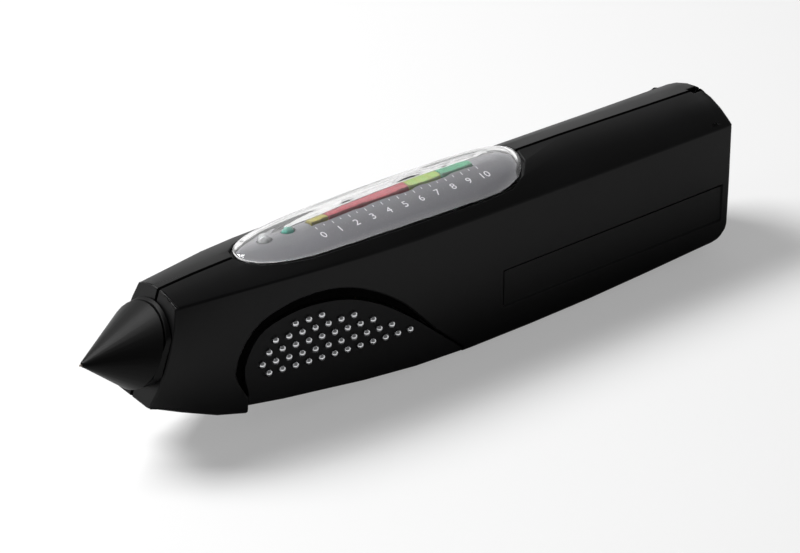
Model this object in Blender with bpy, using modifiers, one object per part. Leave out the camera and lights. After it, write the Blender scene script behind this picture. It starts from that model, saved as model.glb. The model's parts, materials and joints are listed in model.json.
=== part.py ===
"""Hand-held diamond tester: a pen-like probe housed in two half shells.

Stations run along +X from the end of the probe wire to the rear end, and heights
run up from the underside. Lengths are in metres. The near half is on the -Y side.
"""

import math

import bmesh
import bpy
from mathutils import Matrix, Vector

# Overall size of the object
LENGTH = 0.180
WIDTH = 0.025
HEIGHT = 0.042

# Clearances: between pieces that touch, and how far a cutter runs past what it cuts
GAP = 0.0003
OVERRUN = 0.020

# Casing lines as (share of the length, share of the height or of the half width)
TOP_SHARES = (
    (0.03, 0.912), (0.117, 0.940), (0.178, 0.957), (0.32, 0.972),
    (0.47, 0.979), (0.70, 0.974), (0.83, 0.955), (0.99, 0.931),
)
CREASE_SHARES = (
    (0.03, 0.905), (0.12, 0.902), (0.22, 0.904), (0.32, 0.888),
    (0.47, 0.852), (0.62, 0.838), (0.80, 0.826), (1.0, 0.818),
)
CREASE_HALF_SHARES = ((0.03, 0.54), (0.12, 0.59), (0.22, 0.81), (0.32, 0.945), (0.45, 0.995), (1.0, 1.0))
WIDEST_SHARES = ((0.03, 0.70), (0.12, 0.775), (0.22, 0.86), (0.32, 0.95), (0.45, 1.0), (1.0, 1.0))
LOW_HALF_SHARES = ((0.03, 0.52), (0.12, 0.66), (0.22, 0.80), (0.32, 0.91), (0.45, 0.985), (1.0, 0.985))
BOTTOM_SHARES = (
    (0.03, 0.42), (0.083, 0.325), (0.148, 0.197), (0.208, 0.112), (0.33, 0.060),
    (0.445, 0.018), (0.545, 0.003), (0.636, 0.0), (0.78, 0.010), (0.957, 0.048), (1.0, 0.056),
)
STATION_SHARES = (
    0.03, 0.075, 0.12, 0.17, 0.22, 0.27, 0.32, 0.39, 0.47, 0.56, 0.66, 0.76, 0.86, 0.945,
)
REAR_CORNER_RADIUS = 0.0045
REAR_EDGE_RADIUS = 0.0005
REAR_STEPS = 5
BOTTOM_CORNER_RADIUS = 0.0013

# Shares of the crown, side and corner at which a section has its points
CROWN_SHARES = (0.0, 0.35, 0.65, 0.88, 1.0)
SIDE_SHARES = (0.14, 0.34, 0.58, 0.82, 1.0)
CORNER_SHARES = (1 / 3, 2 / 3, 1.0)
CREASE_SINK_SHARE = 0.55
LEAST_RADIUS = 0.0008
MERGE_SHARE = 0.01

# Casing walls, thick at the nose and thin at the rear
NOSE_WALL = 0.0030
REAR_WALL = 0.0018
NOSE_WALL_SHARE = 0.305
REAR_WALL_SHARE = 0.556

# Front face of the casing, which leans back at the top
FACE_STATION = 0.0175
FACE_LEAN = math.radians(18.5)
FACE_WALL = 0.0024

# Probe axis, on the lines of the casing
PROBE_HEIGHT_SHARE = 0.6524
PROBE_HEIGHT = HEIGHT * PROBE_HEIGHT_SHARE

# Nose cone and collar
CONE_STATION = 0.0146
CONE_RADIUS = 0.0101
CONE_LEAN = math.radians(25)
CONE_TIP_STATION = 0.0011
CONE_TIP_RADIUS = 0.0009
CONE_END_STATION = 0.0007
CONE_END_RADIUS = 0.00065
CONE_WALL = 0.0019
CONE_BORE_STATION = 0.0055
COLLAR_FRONT_STATION = 0.0149
COLLAR_REAR_STATION = 0.01715
COLLAR_FLAT_HALF = 0.0091
COLLAR_BORE_RADIUS = 0.0040
CIRCLE_STEPS = 32

# Probe pin, guide sleeve, carrier and spring
WIRE_RADIUS = 0.0003
WIRE_END_STATION = 0.0138
SHANK_RADIUS = 0.0010
SHANK_END_STATION = 0.0345
FLANGE_RADIUS = 0.0020
FLANGE_STATION = 0.0193
FLANGE_THICK = 0.0010
SLEEVE_RADIUS = 0.0015
SLEEVE_STATION = 0.0050
SLEEVE_END_STATION = 0.0133
CARRIER_RADIUS = 0.0037
CARRIER_STATION = 0.0136
CARRIER_END_STATION = 0.0330
CARRIER_BORE_RADIUS = 0.0025
CARRIER_FRONT_STATION = 0.0190
CAP_LENGTH = 0.0025
CAP_STATION = CARRIER_END_STATION - CAP_LENGTH
SPRING_COIL_RADIUS = 0.0017
SPRING_WIRE_RADIUS = 0.00025
SPRING_TURNS = 6
COIL_STEPS = 9
HEATER_LENGTH = 0.0035
HEATER_SIDE = 0.0040

# Grip pads: outline and recess, along the length and up the height of the casing
PAD_SHARES = (
    (0.2165, 0.226), (0.2105, 0.402), (0.2310, 0.576), (0.265, 0.647), (0.310, 0.669),
    (0.363, 0.631), (0.414, 0.524), (0.461, 0.371), (0.502, 0.212), (0.544, 0.045),
)
PAD_STEPS = 3
PAD_FOOT_SHARE = -0.12
PAD_FRONT_SHARE = 0.211
PAD_REAR_SHARE = 0.539
FLARE_SHARE = 0.333
FLARE_FULL_SHARE = 0.42
FLARE_FOOT_SHARE = 0.2
PAD_FRONT_SINK = 0.0015
PAD_REAR_SINK = 0.0001
PAD_THICK = 0.0012
PAD_KEEL_HALF = 0.0042
FLARE_FRONT = 0.0033
FLARE_REAR = 0.0006
GROOVE_DEPTH = 0.0006
PLATE_THICK = 0.0006
PLATE_MARGIN = 0.0026

# Studs of the contact plates, in rows that run with the pad
STUD_RADIUS = 0.00075
STUD_RISE = 0.00045
STUD_SIDES = 8
HOLE_SIDES = 6
STUD_START_SHARE = 0.2361
STUD_PITCH_SHARE = 0.01933
STUD_LOW_SHARE = 0.3262
STUD_ROW_SHARE = 0.0655
STUD_DROOP_SHARE = 0.009
# One row each from the lowest: count and how many half pitches it starts behind the foremost
STUD_ROWS = ((12, 1), (11, 0), (9, 1), (7, 2), (3, 5))
STUD_PITCH = LENGTH * STUD_PITCH_SHARE
STUD_LOW_HEIGHT = HEIGHT * STUD_LOW_SHARE

# Battery cells, and as many of them as the height takes
CELL_RADIUS = 0.00525
CELL_LENGTH = 0.0435
CELL_NUB_RADIUS = 0.0019
CELL_NUB_LENGTH = 0.0010
CELL_CLEARANCE = 0.0003
CELL_SIDES = 20
CELL_FLOOR = 0.00405
CELL_ROOF = 0.0050
CELL_COVER_ROOM = 0.0012
CELL_PITCH = CELL_RADIUS * 2 + CELL_CLEARANCE
CELL_COUNT = int((HEIGHT - CELL_FLOOR - CELL_ROOF) / CELL_PITCH)
CELL_LOW_HEIGHT = CELL_FLOOR + CELL_RADIUS

# Tray round the cells, set in from the rear end, with its contacts
TRAY_WALL = 0.0010
TRAY_REAR_ROOM = 0.0088
TRAY_FOOT = 0.00055
TRAY_TOP_DROP = 0.00205
TRAY_SHALLOW = 0.0010
RIDGE_DEPTH = 0.0022
RIDGE_THICK = 0.0008
BATTERY_SPRING_ROOM = 0.0035
BATTERY_SPRING_RADIUS = 0.0025
BATTERY_SPRING_TURNS = 2
TAB_SIDE = 0.0070
TAB_THICK = 0.0008
TRAY_LENGTH = TRAY_WALL * 2 + BATTERY_SPRING_ROOM + CELL_LENGTH + CELL_NUB_LENGTH + TAB_THICK + GAP * 2
TRAY_REAR = LENGTH - TRAY_REAR_ROOM
TRAY_FRONT = TRAY_REAR - TRAY_LENGTH
TRAY_STATIONS = (TRAY_FRONT, TRAY_REAR)
TRAY_HEIGHTS = (CELL_FLOOR + TRAY_FOOT, CELL_FLOOR + CELL_COUNT * CELL_PITCH - TRAY_TOP_DROP)
CELL_STATION = TRAY_FRONT + TRAY_WALL + BATTERY_SPRING_ROOM

# Battery cover on the far side and the opening that it closes
COVER_THICK = 0.0015
COVER_REAR_LAP = 0.0014
COVER_LOW_INSET = 0.0002
COVER_TOP_LAP = 0.0020
COVER_SEAT = 0.0005
COVER_NOTCH_RADIUS = 0.0045
COVER_NOTCH_DEPTH = 0.0007
COVER_STATIONS = (TRAY_FRONT - GAP, TRAY_REAR + COVER_REAR_LAP)
COVER_HEIGHTS = (TRAY_HEIGHTS[0] + COVER_LOW_INSET, TRAY_HEIGHTS[1] + COVER_TOP_LAP)
CELL_MIDDLE = WIDTH / 2 - COVER_THICK - CELL_COVER_ROOM - CELL_RADIUS
CELL_BACK = CELL_MIDDLE - CELL_RADIUS - GAP
COVER_DEPTH = CELL_MIDDLE + CELL_RADIUS - COVER_SEAT

# Socket and main board, which share the width that cells, tray and walls leave free
SOCKET_LENGTH = 0.0065
SOCKET_THICK = 0.0026
SOCKET_TALL = 0.0075
SOCKET_WALL = 0.0004
SOCKET_DEPTH = 0.0040
SOCKET_SETBACK = 0.0003
SOCKET_RISE = 0.0040
BOARD_THICK = 0.0010
BOARD_SIDE_SHARE = 0.604
FREE_WIDTH = (
    WIDTH - REAR_WALL - SOCKET_THICK - GAP - BOARD_THICK
    - TRAY_WALL - GAP - CELL_RADIUS * 2 - CELL_COVER_ROOM - COVER_THICK
)
MAIN_BOARD_BACK = -WIDTH / 2 + REAR_WALL + FREE_WIDTH * BOARD_SIDE_SHARE + SOCKET_THICK + GAP
MAIN_BOARD_FACE = MAIN_BOARD_BACK + BOARD_THICK
BOARD_LOW = 0.0124
BOARD_TOP_ROOM = 0.0116
BOARD_REAR_ROOM = 0.0040
BOARD_FRONT_SHARE = 0.3556
MAIN_BOARD_STATIONS = (LENGTH * BOARD_FRONT_SHARE, LENGTH - BOARD_REAR_ROOM)
MAIN_BOARD_HEIGHTS = (BOARD_LOW, HEIGHT - BOARD_TOP_ROOM)
SOCKET_HEIGHT = BOARD_LOW + SOCKET_RISE
SOCKET_END_STATION = LENGTH - SOCKET_SETBACK

# Push button at the rear end and its switch on the main board
BUTTON_DROP = 0.0050
BUTTON_RADIUS = 0.0032
BUTTON_FLANGE_RADIUS = 0.0040
BUTTON_FLANGE_THICK = 0.0010
BUTTON_LENGTH = 0.0030
BUTTON_SETBACK = 0.0001
BUTTON_EDGE = 0.0004
SWITCH_LENGTH = 0.0036
SWITCH_REAR_ROOM = 0.0044
SWITCH_DEPTH = 0.0040
SWITCH_HALF_TALL = 0.0040
SWITCH_STEM_RADIUS = 0.0012
SWITCH_STEM_LENGTH = 0.0007
BUTTON_HEIGHT = MAIN_BOARD_HEIGHTS[1] - BUTTON_DROP
BUTTON_SIDE_OFFSET = MAIN_BOARD_FACE + GAP + SWITCH_DEPTH / 2
BUTTON_END_STATION = LENGTH - BUTTON_SETBACK
BUTTON_STATION = BUTTON_END_STATION - BUTTON_LENGTH
SWITCH_STATIONS = (LENGTH - SWITCH_REAR_ROOM - SWITCH_LENGTH, LENGTH - SWITCH_REAR_ROOM)

# Lens over the display, which ends over the front of the battery tray
LENS_START_SHARE = 0.2333
LENS_LAP = 0.0030
LENS_SIDE_MARGIN = 0.0029
LENS_FRONT_HALF_SHARE = 0.905
LENS_FRONT_SHARE = 0.28
LENS_REAR_SHARE = 0.15
LENS_FRONT_POWER = 2.2
LENS_REAR_POWER = 2.1
LENS_STEPS = 14
LENS_THICK = 0.0009
LENS_RISE = 0.0024
LENS_END_RISE_SHARE = 0.4
LENS_RIM_SINK = 0.0006
# Dome rings of the lens as (share of the half width drawn in, share of the rise)
LENS_DOME_SHARES = ((0.0, 0.15), (0.03, 0.50), (0.09, 0.75), (0.25, 0.92), (0.75, 1.0))
LENS_LEDGE = 0.0012
LENS_STATION = LENGTH * LENS_START_SHARE
LENS_END_STATION = TRAY_FRONT + LENS_LAP
LENS_LENGTH = LENS_END_STATION - LENS_STATION
LENS_HALF = WIDTH / 2 - LENS_SIDE_MARGIN

# Display under the lens: places along it are shares of the lens
LEGEND_SINK = 0.0010
LEGEND_THICK = 0.0008
BAR_MIDDLE = 0.0026
BAR_WIDTH = 0.0029
BAR_SHARES = (0.2785, 0.3403, 0.6250, 0.7401, 0.8515)
BAR_NAMES = ("light_bar_yellow", "light_bar_red", "light_bar_lime", "light_bar_green")
BAR_SINK = 0.0016
BAR_THICK = 0.0020
LAMP_SHARES = (0.1300, 0.2104)
LAMP_NAMES = ("battery_lamp", "ready_lamp")
LAMP_DOME_SHARES = (1 / 4, 1 / 2, 3 / 4, 1.0)
LAMP_MIDDLE = 0.0030
LAMP_RADIUS = 0.0016
LAMP_RISE = 0.0002
DISPLAY_BOARD_SHARES = (0.0990, 0.9158)
DISPLAY_BOARD_INSET = 0.0034
DISPLAY_BOARD_SINK = 0.0070
BAR_STATIONS = tuple(LENS_STATION + share * LENS_LENGTH for share in BAR_SHARES)
BAR_TOP = HEIGHT - BAR_SINK
LAMP_STATIONS = tuple(LENS_STATION + share * LENS_LENGTH for share in LAMP_SHARES)
DISPLAY_BOARD_STATIONS = tuple(LENS_STATION + share * LENS_LENGTH for share in DISPLAY_BOARD_SHARES)
DISPLAY_BOARD_HALF = LENS_HALF - DISPLAY_BOARD_INSET
DISPLAY_BOARD_LOW = HEIGHT - DISPLAY_BOARD_SINK

# Ribs of the shells, and the pillar between grip pad and battery tray
RIB_THICK = 0.0012
RIB_BURIAL = 0.0010
NOSE_RIB_SETBACK = 0.0030
NOSE_RIB_HALF_HEIGHT = 0.0060
NOSE_RIB_STATION = CARRIER_END_STATION - NOSE_RIB_SETBACK
PILLAR_SHARE = 0.278
PAD_END_STATION = LENGTH * PAD_SHARES[-1][0]
PILLAR_STATION = PAD_END_STATION + PILLAR_SHARE * (TRAY_FRONT - PAD_END_STATION)
TRAY_RIB_SHARES = (0.393, 0.899)
BOARD_RIB_STATIONS = (PILLAR_STATION, *(TRAY_FRONT + share * TRAY_LENGTH for share in TRAY_RIB_SHARES))
DISPLAY_RIB_SETBACK = 0.0025
DISPLAY_RIB_HALF = 0.0030
DISPLAY_RIB_STATION = DISPLAY_BOARD_STATIONS[0] + DISPLAY_RIB_SETBACK

# What stands on the main board: the buzzer is behind the pillar where it fits there, else ahead of it
BOARD_ROOM = PILLAR_STATION - MAIN_BOARD_STATIONS[0]
CHIP_SHARE = 0.5
CHIP_SIDE = 0.0070
CHIP_THICK = 0.0012
BUZZER_REAR_SHARE = 0.5063
BUZZER_FRONT_SHARE = 0.75
BUZZER_RADIUS = 0.0045
BUZZER_THICK = 0.0038
BUZZER_HEIGHT = 0.0205
HEADER_SHARES = (0.4, 0.85)
HEADER_THICK = 0.0025
CHIP_STATION = MAIN_BOARD_STATIONS[0] + CHIP_SHARE * BOARD_ROOM
BUZZER_ROOM = TRAY_FRONT - PILLAR_STATION
BUZZER_FITS = BUZZER_ROOM > BUZZER_RADIUS * 2 + RIB_THICK + GAP * 2
BUZZER_REAR_STATION = PILLAR_STATION + BUZZER_REAR_SHARE * BUZZER_ROOM
BUZZER_FRONT_STATION = MAIN_BOARD_STATIONS[0] + BUZZER_FRONT_SHARE * BOARD_ROOM
BUZZER_STATION = BUZZER_REAR_STATION if BUZZER_FITS else BUZZER_FRONT_STATION
HEADER_STATIONS = tuple(MAIN_BOARD_STATIONS[0] + share * BOARD_ROOM for share in HEADER_SHARES)

# Screws and their bosses: one under the probe, one at the pillar, two at the rear
BOSS_RADIUS = 0.0024
SCREW_RADIUS = 0.0010
SCREW_HEAD_RADIUS = 0.0018
SCREW_HEAD_THICK = 0.0013
SCREW_HEAD_SINK = 0.0010
SCREW_REACH = 0.0060
SCREW_SLOT_WIDTH = 0.0005
NOSE_SCREW_SETBACK = 0.0060
NOSE_SCREW_DROP = 0.0120
PILLAR_SCREW_HEIGHT = 0.0069
REAR_SCREW_ROOM = 0.0047
LOW_SCREW_DROP = 0.0040
HIGH_SCREW_RISE = 0.0026
SCREW_PLACES = (
    (CARRIER_END_STATION - NOSE_SCREW_SETBACK, PROBE_HEIGHT - NOSE_SCREW_DROP),
    (PILLAR_STATION, PILLAR_SCREW_HEIGHT),
    (LENGTH - REAR_SCREW_ROOM, MAIN_BOARD_HEIGHTS[0] - LOW_SCREW_DROP),
    (LENGTH - REAR_SCREW_ROOM, MAIN_BOARD_HEIGHTS[1] + HIGH_SCREW_RISE),
)

# Label recess on the near side and slot on the seam at the rear
LABEL_LENGTH = 0.0675
LABEL_REAR_ROOM = 0.0025
LABEL_LOW = 0.0084
LABEL_TALL = 0.0098
LABEL_DEPTH = 0.0003
LABEL_STATIONS = (LENGTH - LABEL_REAR_ROOM - LABEL_LENGTH, LENGTH - LABEL_REAR_ROOM)
LABEL_HEIGHTS = (LABEL_LOW, LABEL_LOW + LABEL_TALL)
SLOT_LENGTH = 0.0026
SLOT_REAR_ROOM = 0.0005
SLOT_HALF = 0.0012
SLOT_DEPTH = 0.0014
SLOT_STATIONS = (LENGTH - SLOT_REAR_ROOM - SLOT_LENGTH, LENGTH - SLOT_REAR_ROOM)

# Leads and leaf contacts
LEAD_RADIUS = 0.0005
LEAD_STEPS = 3
LEAD_STUB = 0.0025
LEAD_BOW = 0.0015
LEAD_RUN_SHARE = 0.906
LOW_LEAD_DROP = 0.0016
HIGH_LEAD_DROP = 0.0020
LEAF_THICK = 0.0003
LEAF_SHARES = (0.3778, 0.4)
LEAF_STATIONS = tuple(LENGTH * share for share in LEAF_SHARES)

BLACK = ((0.012, 0.012, 0.013), 0.38, 0.0)
SATIN_BLACK = ((0.018, 0.018, 0.019), 0.5, 0.0)
GREY = ((0.06, 0.062, 0.063), 0.45, 0.0)
CLEAR = ((0.9, 0.92, 0.93), 0.05, 0.0)
CHROME = ((0.85, 0.85, 0.86), 0.12, 1.0)
BRASS = ((0.78, 0.6, 0.25), 0.3, 1.0)
COPPER = ((0.75, 0.36, 0.2), 0.3, 1.0)
GREEN_BOARD = ((0.01, 0.12, 0.05), 0.5, 0.0)
WHITE = ((0.8, 0.8, 0.78), 0.4, 0.0)
RED = ((0.75, 0.03, 0.05), 0.35, 0.0)
YELLOW = ((0.72, 0.62, 0.1), 0.35, 0.0)
LIME = ((0.5, 0.65, 0.08), 0.35, 0.0)
EMERALD = ((0.02, 0.5, 0.22), 0.35, 0.0)
TEAL = ((0.02, 0.3, 0.26), 0.2, 0.0)


def clear_scene():
    for item in list(bpy.data.objects):
        bpy.data.objects.remove(item, do_unlink=True)


def collection(name):
    made = bpy.data.collections.new(name)
    bpy.context.scene.collection.children.link(made)
    return made


def material(name, look):
    colour, roughness, metallic = look
    made = bpy.data.materials.new(name)
    made.use_nodes = True
    shader = made.node_tree.nodes["Principled BSDF"]
    shader.inputs["Base Color"].default_value = (*colour, 1.0)
    shader.inputs["Roughness"].default_value = roughness
    shader.inputs["Metallic"].default_value = metallic
    made.diffuse_color = (*colour, 1.0)
    return made


def place(station, side=0.0, height=0.0):
    """World point of a station, a side offset and a height."""
    return Vector((station - LENGTH / 2, side, height))


def line_at(shares, share):
    """Value at a share of the length, eased smoothly between the given points."""
    if share <= shares[0][0]:
        return shares[0][1]
    for index in range(len(shares) - 1):
        left, right = shares[index], shares[index + 1]
        if share <= right[0]:
            before = shares[max(index - 1, 0)]
            after = shares[min(index + 2, len(shares) - 1)]
            width = right[0] - left[0]
            part = (share - left[0]) / width
            slope_in = (right[1] - before[1]) / (right[0] - before[0]) * width
            slope_out = (after[1] - left[1]) / (after[0] - left[0]) * width
            square, cube = part**2, part**3
            return (
                (2 * cube - 3 * square + 1) * left[1]
                + (cube - 2 * square + part) * slope_in
                + (3 * square - 2 * cube) * right[1]
                + (cube - square) * slope_out
            )
    return shares[-1][1]


def ramp(station, first, last, low, high):
    """A value that runs evenly from low at the first station to high at the last."""
    share = min(max((station - first) / (last - first), 0.0), 1.0)
    return low + (high - low) * share


def top_at(station):
    return HEIGHT * line_at(TOP_SHARES, station / LENGTH)


def crown_at(station, side):
    """Height of the casing's crown at a station and a side offset."""
    share = station / LENGTH
    top = top_at(station)
    crease = HEIGHT * line_at(CREASE_SHARES, share)
    half = WIDTH / 2 * line_at(CREASE_HALF_SHARES, share)
    return top - (top - crease) * (side / half) ** 2


def bottom_at(station):
    """Height of the underside, with the rounded rear corner."""
    height = HEIGHT * line_at(BOTTOM_SHARES, station / LENGTH)
    into = station - (LENGTH - REAR_CORNER_RADIUS)
    if into > 0:
        height += REAR_CORNER_RADIUS - math.sqrt(max(REAR_CORNER_RADIUS**2 - into**2, 0.0))
    return height


def side_at(station, height, inset=0.0):
    """Half width of the casing's side at a station and a height."""
    share = station / LENGTH
    crease = HEIGHT * line_at(CREASE_SHARES, share)
    foot = bottom_at(station) + BOTTOM_CORNER_RADIUS
    part = min(max((crease - height) / (crease - foot), 0.0), 1.0)
    return side_half(share, part) - inset


def side_half(share, part):
    """Half width at a part of the way down the side."""
    upper = WIDTH / 2 * line_at(CREASE_HALF_SHARES, share)
    widest = WIDTH / 2 * line_at(WIDEST_SHARES, share)
    lower = WIDTH / 2 * line_at(LOW_HALF_SHARES, share)
    bulge = widest - (upper + lower) / 2
    return upper + (lower - upper) * part + 4 * bulge * part * (1 - part)


def section(station, inset):
    """Closed ring of the casing's section, drawn in by the inset."""
    share = station / LENGTH
    top = top_at(station) - inset
    crease = HEIGHT * line_at(CREASE_SHARES, share) - inset * CREASE_SINK_SHARE
    crease_half = side_half(share, 0.0) - inset
    bottom = bottom_at(station) + inset
    radius = max(BOTTOM_CORNER_RADIUS - inset, LEAST_RADIUS)
    foot = bottom + radius
    half = [(crease_half * step, top - (top - crease) * step**2) for step in CROWN_SHARES]
    for step in SIDE_SHARES:
        half.append((side_half(share, step) - inset, crease + (foot - crease) * step))
    low_half = half[-1][0]
    for step in CORNER_SHARES:
        turn = step * math.pi / 2
        half.append((low_half - radius + radius * math.cos(turn), foot - radius * math.sin(turn)))
    half.append((0.0, bottom))
    mirrored = [(-side, height) for side, height in half[-2:0:-1]]
    return [place(station, side, height) for side, height in half + mirrored]


def mesh_object(name, points, faces):
    mesh = bpy.data.meshes.new(name)
    mesh.from_pydata(points, [], faces)
    shape = bmesh.new()
    shape.from_mesh(mesh)
    bmesh.ops.recalc_face_normals(shape, faces=shape.faces)
    shape.to_mesh(mesh)
    shape.free()
    return bpy.data.objects.new(name, mesh)


def loft(name, rings):
    """Closed body through rings with equal numbers of points."""
    count = len(rings[0])
    points = [point for ring in rings for point in ring]
    faces = [tuple(range(count))]
    for index in range(len(rings) - 1):
        for step in range(count):
            following = (step + 1) % count
            faces.append((
                index * count + step,
                index * count + following,
                (index + 1) * count + following,
                (index + 1) * count + step,
            ))
    faces.append(tuple(range(len(points) - count, len(points))))
    return mesh_object(name, points, faces)


def casing_form(name, inset_at):
    """Body of the casing drawn in by an inset that may change along the length."""
    end = LENGTH - inset_at(LENGTH)
    corner = max(REAR_CORNER_RADIUS - inset_at(LENGTH), LEAST_RADIUS)
    stations = [share * LENGTH for share in STATION_SHARES]
    for step in range(REAR_STEPS + 1):
        turn = step / REAR_STEPS * math.pi / 2
        stations.append(end - corner * (1 - math.sin(turn)))
    rings = []
    for station in stations:
        into = max(station - (LENGTH - REAR_EDGE_RADIUS), 0.0)
        edge = REAR_EDGE_RADIUS - math.sqrt(max(REAR_EDGE_RADIUS**2 - into**2, 0.0))
        rings.append(section(station, inset_at(station) + edge))
    return loft(name, rings)


def box(name, stations, sides, heights):
    low, high = place(stations[0], sides[0], heights[0]), place(stations[1], sides[1], heights[1])
    shape = bmesh.new()
    bmesh.ops.create_cube(shape, size=1.0, matrix=Matrix.Diagonal((*(high - low), 1.0)))
    mesh = bpy.data.meshes.new(name)
    shape.to_mesh(mesh)
    shape.free()
    made = bpy.data.objects.new(name, mesh)
    made.location = (low + high) / 2
    return made


def turned(name, profile, start, direction=(1.0, 0.0, 0.0), steps=CIRCLE_STEPS):
    """Body turned from (radius, distance) points; a profile off the axis closes on itself."""
    mesh = bpy.data.meshes.new(name)
    points = [(radius, 0.0, along) for radius, along in profile]
    edges = [(index, index + 1) for index in range(len(points) - 1)]
    if profile[0][0] > 0:
        edges.append((len(points) - 1, 0))
    mesh.from_pydata(points, edges, [])
    made = bpy.data.objects.new(name, mesh)
    screw = made.modifiers.new("turn", "SCREW")
    screw.axis = "Z"
    screw.angle = 2 * math.pi
    screw.steps = steps
    screw.render_steps = steps
    screw.use_merge_vertices = True
    screw.merge_threshold = LEAST_RADIUS * MERGE_SHARE
    screw.use_smooth_shade = True
    weld = made.modifiers.new("close", "WELD")
    weld.merge_threshold = LEAST_RADIUS * MERGE_SHARE
    made.location = start
    made.rotation_euler = Vector(direction).to_track_quat("Z", "Y").to_euler()
    return made


def rod(name, radius, start, length, direction=(1.0, 0.0, 0.0), steps=CIRCLE_STEPS):
    profile = ((0.0, length), (radius, length), (radius, 0.0), (0.0, 0.0))
    return turned(name, profile, start, direction, steps)


def ring_body(name, inner, outer, start, length, direction=(1.0, 0.0, 0.0), steps=CIRCLE_STEPS):
    profile = ((outer, length), (outer, 0.0), (inner, 0.0), (inner, length))
    return turned(name, profile, start, direction, steps)


def wire(name, points, radius):
    """Round wire along points."""
    curve = bpy.data.curves.new(name, "CURVE")
    curve.dimensions = "3D"
    curve.bevel_depth = radius
    curve.bevel_resolution = 1
    curve.resolution_u = 1
    curve.render_resolution_u = 0
    curve.use_fill_caps = True
    spline = curve.splines.new("POLY")
    spline.points.add(len(points) - 1)
    for item, point in zip(spline.points, points):
        item.co = (*point, 1.0)
    return bpy.data.objects.new(name, curve)


def coil(name, start, length, radius, turns, wire_radius):
    """Spring wound about a line along +X; prints the least gap between its own turns."""
    count = turns * COIL_STEPS
    points = []
    for step in range(count + 1):
        turn = 2 * math.pi * step / COIL_STEPS
        along = wire_radius + (length - 2 * wire_radius) * step / count
        points.append(Vector((along, radius * math.cos(turn), radius * math.sin(turn))))
    least = min(
        (points[later] - points[first]).length
        for first in range(len(points))
        for later in range(first + COIL_STEPS // 2, len(points))
    )
    print(f"{name}: least gap to itself {(least - 2 * wire_radius) * 1000:.2f} mm")
    made = wire(name, points, wire_radius)
    made.location = start
    return made


def combine(target, other, operation):
    modifier = target.modifiers.new(other.name, "BOOLEAN")
    modifier.solver = "EXACT"
    modifier.operation = operation
    modifier.object = other
    return target


def cut(target, other):
    return combine(target, other, "DIFFERENCE")


def join(target, other):
    return combine(target, other, "UNION")


def keep(target, other):
    return combine(target, other, "INTERSECT")


def prism(name, outline, depth, centre, rotation=(0.0, 0.0, 0.0)):
    """Block with a flat outline, extruded evenly both ways from its centre."""
    curve = bpy.data.curves.new(name, "CURVE")
    curve.dimensions = "2D"
    curve.fill_mode = "BOTH"
    curve.extrude = depth / 2
    spline = curve.splines.new("POLY")
    spline.points.add(len(outline) - 1)
    spline.use_cyclic_u = True
    for item, (across, up) in zip(spline.points, outline):
        item.co = (across, up, 0.0, 1.0)
    flat = bpy.data.objects.new(name, curve)
    mesh = bpy.data.meshes.new_from_object(flat)
    bpy.data.objects.remove(flat, do_unlink=True)
    shape = bmesh.new()
    shape.from_mesh(mesh)
    bmesh.ops.remove_doubles(shape, verts=shape.verts, dist=LEAST_RADIUS * MERGE_SHARE)
    bmesh.ops.recalc_face_normals(shape, faces=shape.faces)
    shape.to_mesh(mesh)
    shape.free()
    made = bpy.data.objects.new(name, mesh)
    made.location = centre
    made.rotation_euler = rotation
    return made


def side_prism(name, outline, sides):
    """Block with an outline of (station, height) points, between two side offsets."""
    low, high = sorted(sides)
    return prism(name, outline, high - low, place(0.0, (low + high) / 2, 0.0), (math.pi / 2, 0.0, 0.0))


def smooth_line(points, steps):
    """Points eased through the given ones, with this many steps between neighbours."""
    line = []
    for index in range(len(points) - 1):
        before = Vector(points[max(index - 1, 0)])
        left, right = Vector(points[index]), Vector(points[index + 1])
        after = Vector(points[min(index + 2, len(points) - 1)])
        for step in range(steps):
            part = step / steps
            square, cube = part**2, part**3
            line.append(
                left * (2 * cube - 3 * square + 1)
                + (right - before) / 2 * (cube - 2 * square + part)
                + right * (3 * square - 2 * cube)
                + (after - left) / 2 * (cube - square)
            )
    line.append(Vector(points[-1]))
    return line


def wall_at(station):
    return ramp(station / LENGTH, NOSE_WALL_SHARE, REAR_WALL_SHARE, NOSE_WALL, REAR_WALL)


def sink_at(station):
    """How deep the face of a grip pad lies under the casing's surface."""
    return ramp(station / LENGTH, PAD_FRONT_SHARE, PAD_REAR_SHARE, PAD_FRONT_SINK, PAD_REAR_SINK)


def pad_outline():
    """Upper edge of a grip pad from its front foot to its rear foot, as (station, height)."""
    return [
        Vector((station * LENGTH, height * HEIGHT))
        for station, height in smooth_line(PAD_SHARES, PAD_STEPS)
    ]


def flared(outline):
    """The outline moved outwards to the far edge of its groove, which narrows towards the feet."""
    line = []
    for index, point in enumerate(outline):
        along = outline[min(index + 1, len(outline) - 1)] - outline[max(index - 1, 0)]
        outward = Vector((-along[1], along[0])).normalized()
        flare = ramp(point[0] / LENGTH, FLARE_SHARE, PAD_REAR_SHARE, FLARE_FRONT, FLARE_REAR)
        flare *= ramp(point[1] / HEIGHT, PAD_SHARES[0][1], FLARE_FULL_SHARE, FLARE_FOOT_SHARE, 1.0)
        line.append(point + outward * flare)
    return line


def shrunk(outline, inward):
    """The outline drawn in evenly."""
    line = []
    for index, point in enumerate(outline):
        along = outline[min(index + 1, len(outline) - 1)] - outline[max(index - 1, 0)]
        line.append(point - Vector((-along[1], along[0])).normalized() * inward)
    return line


def with_foot(outline):
    """The outline carried straight down past the underside."""
    foot = PAD_FOOT_SHARE * HEIGHT
    return outline + [Vector((outline[-1][0], foot)), Vector((outline[0][0], foot))]


def pad_prism(name, hand, inner, inward):
    """Block with the pad's outline, from an inner side offset outwards."""
    outline = with_foot(shrunk(pad_outline(), inward))
    return side_prism(name, outline, (hand * inner, hand * (WIDTH / 2 + OVERRUN)))


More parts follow.
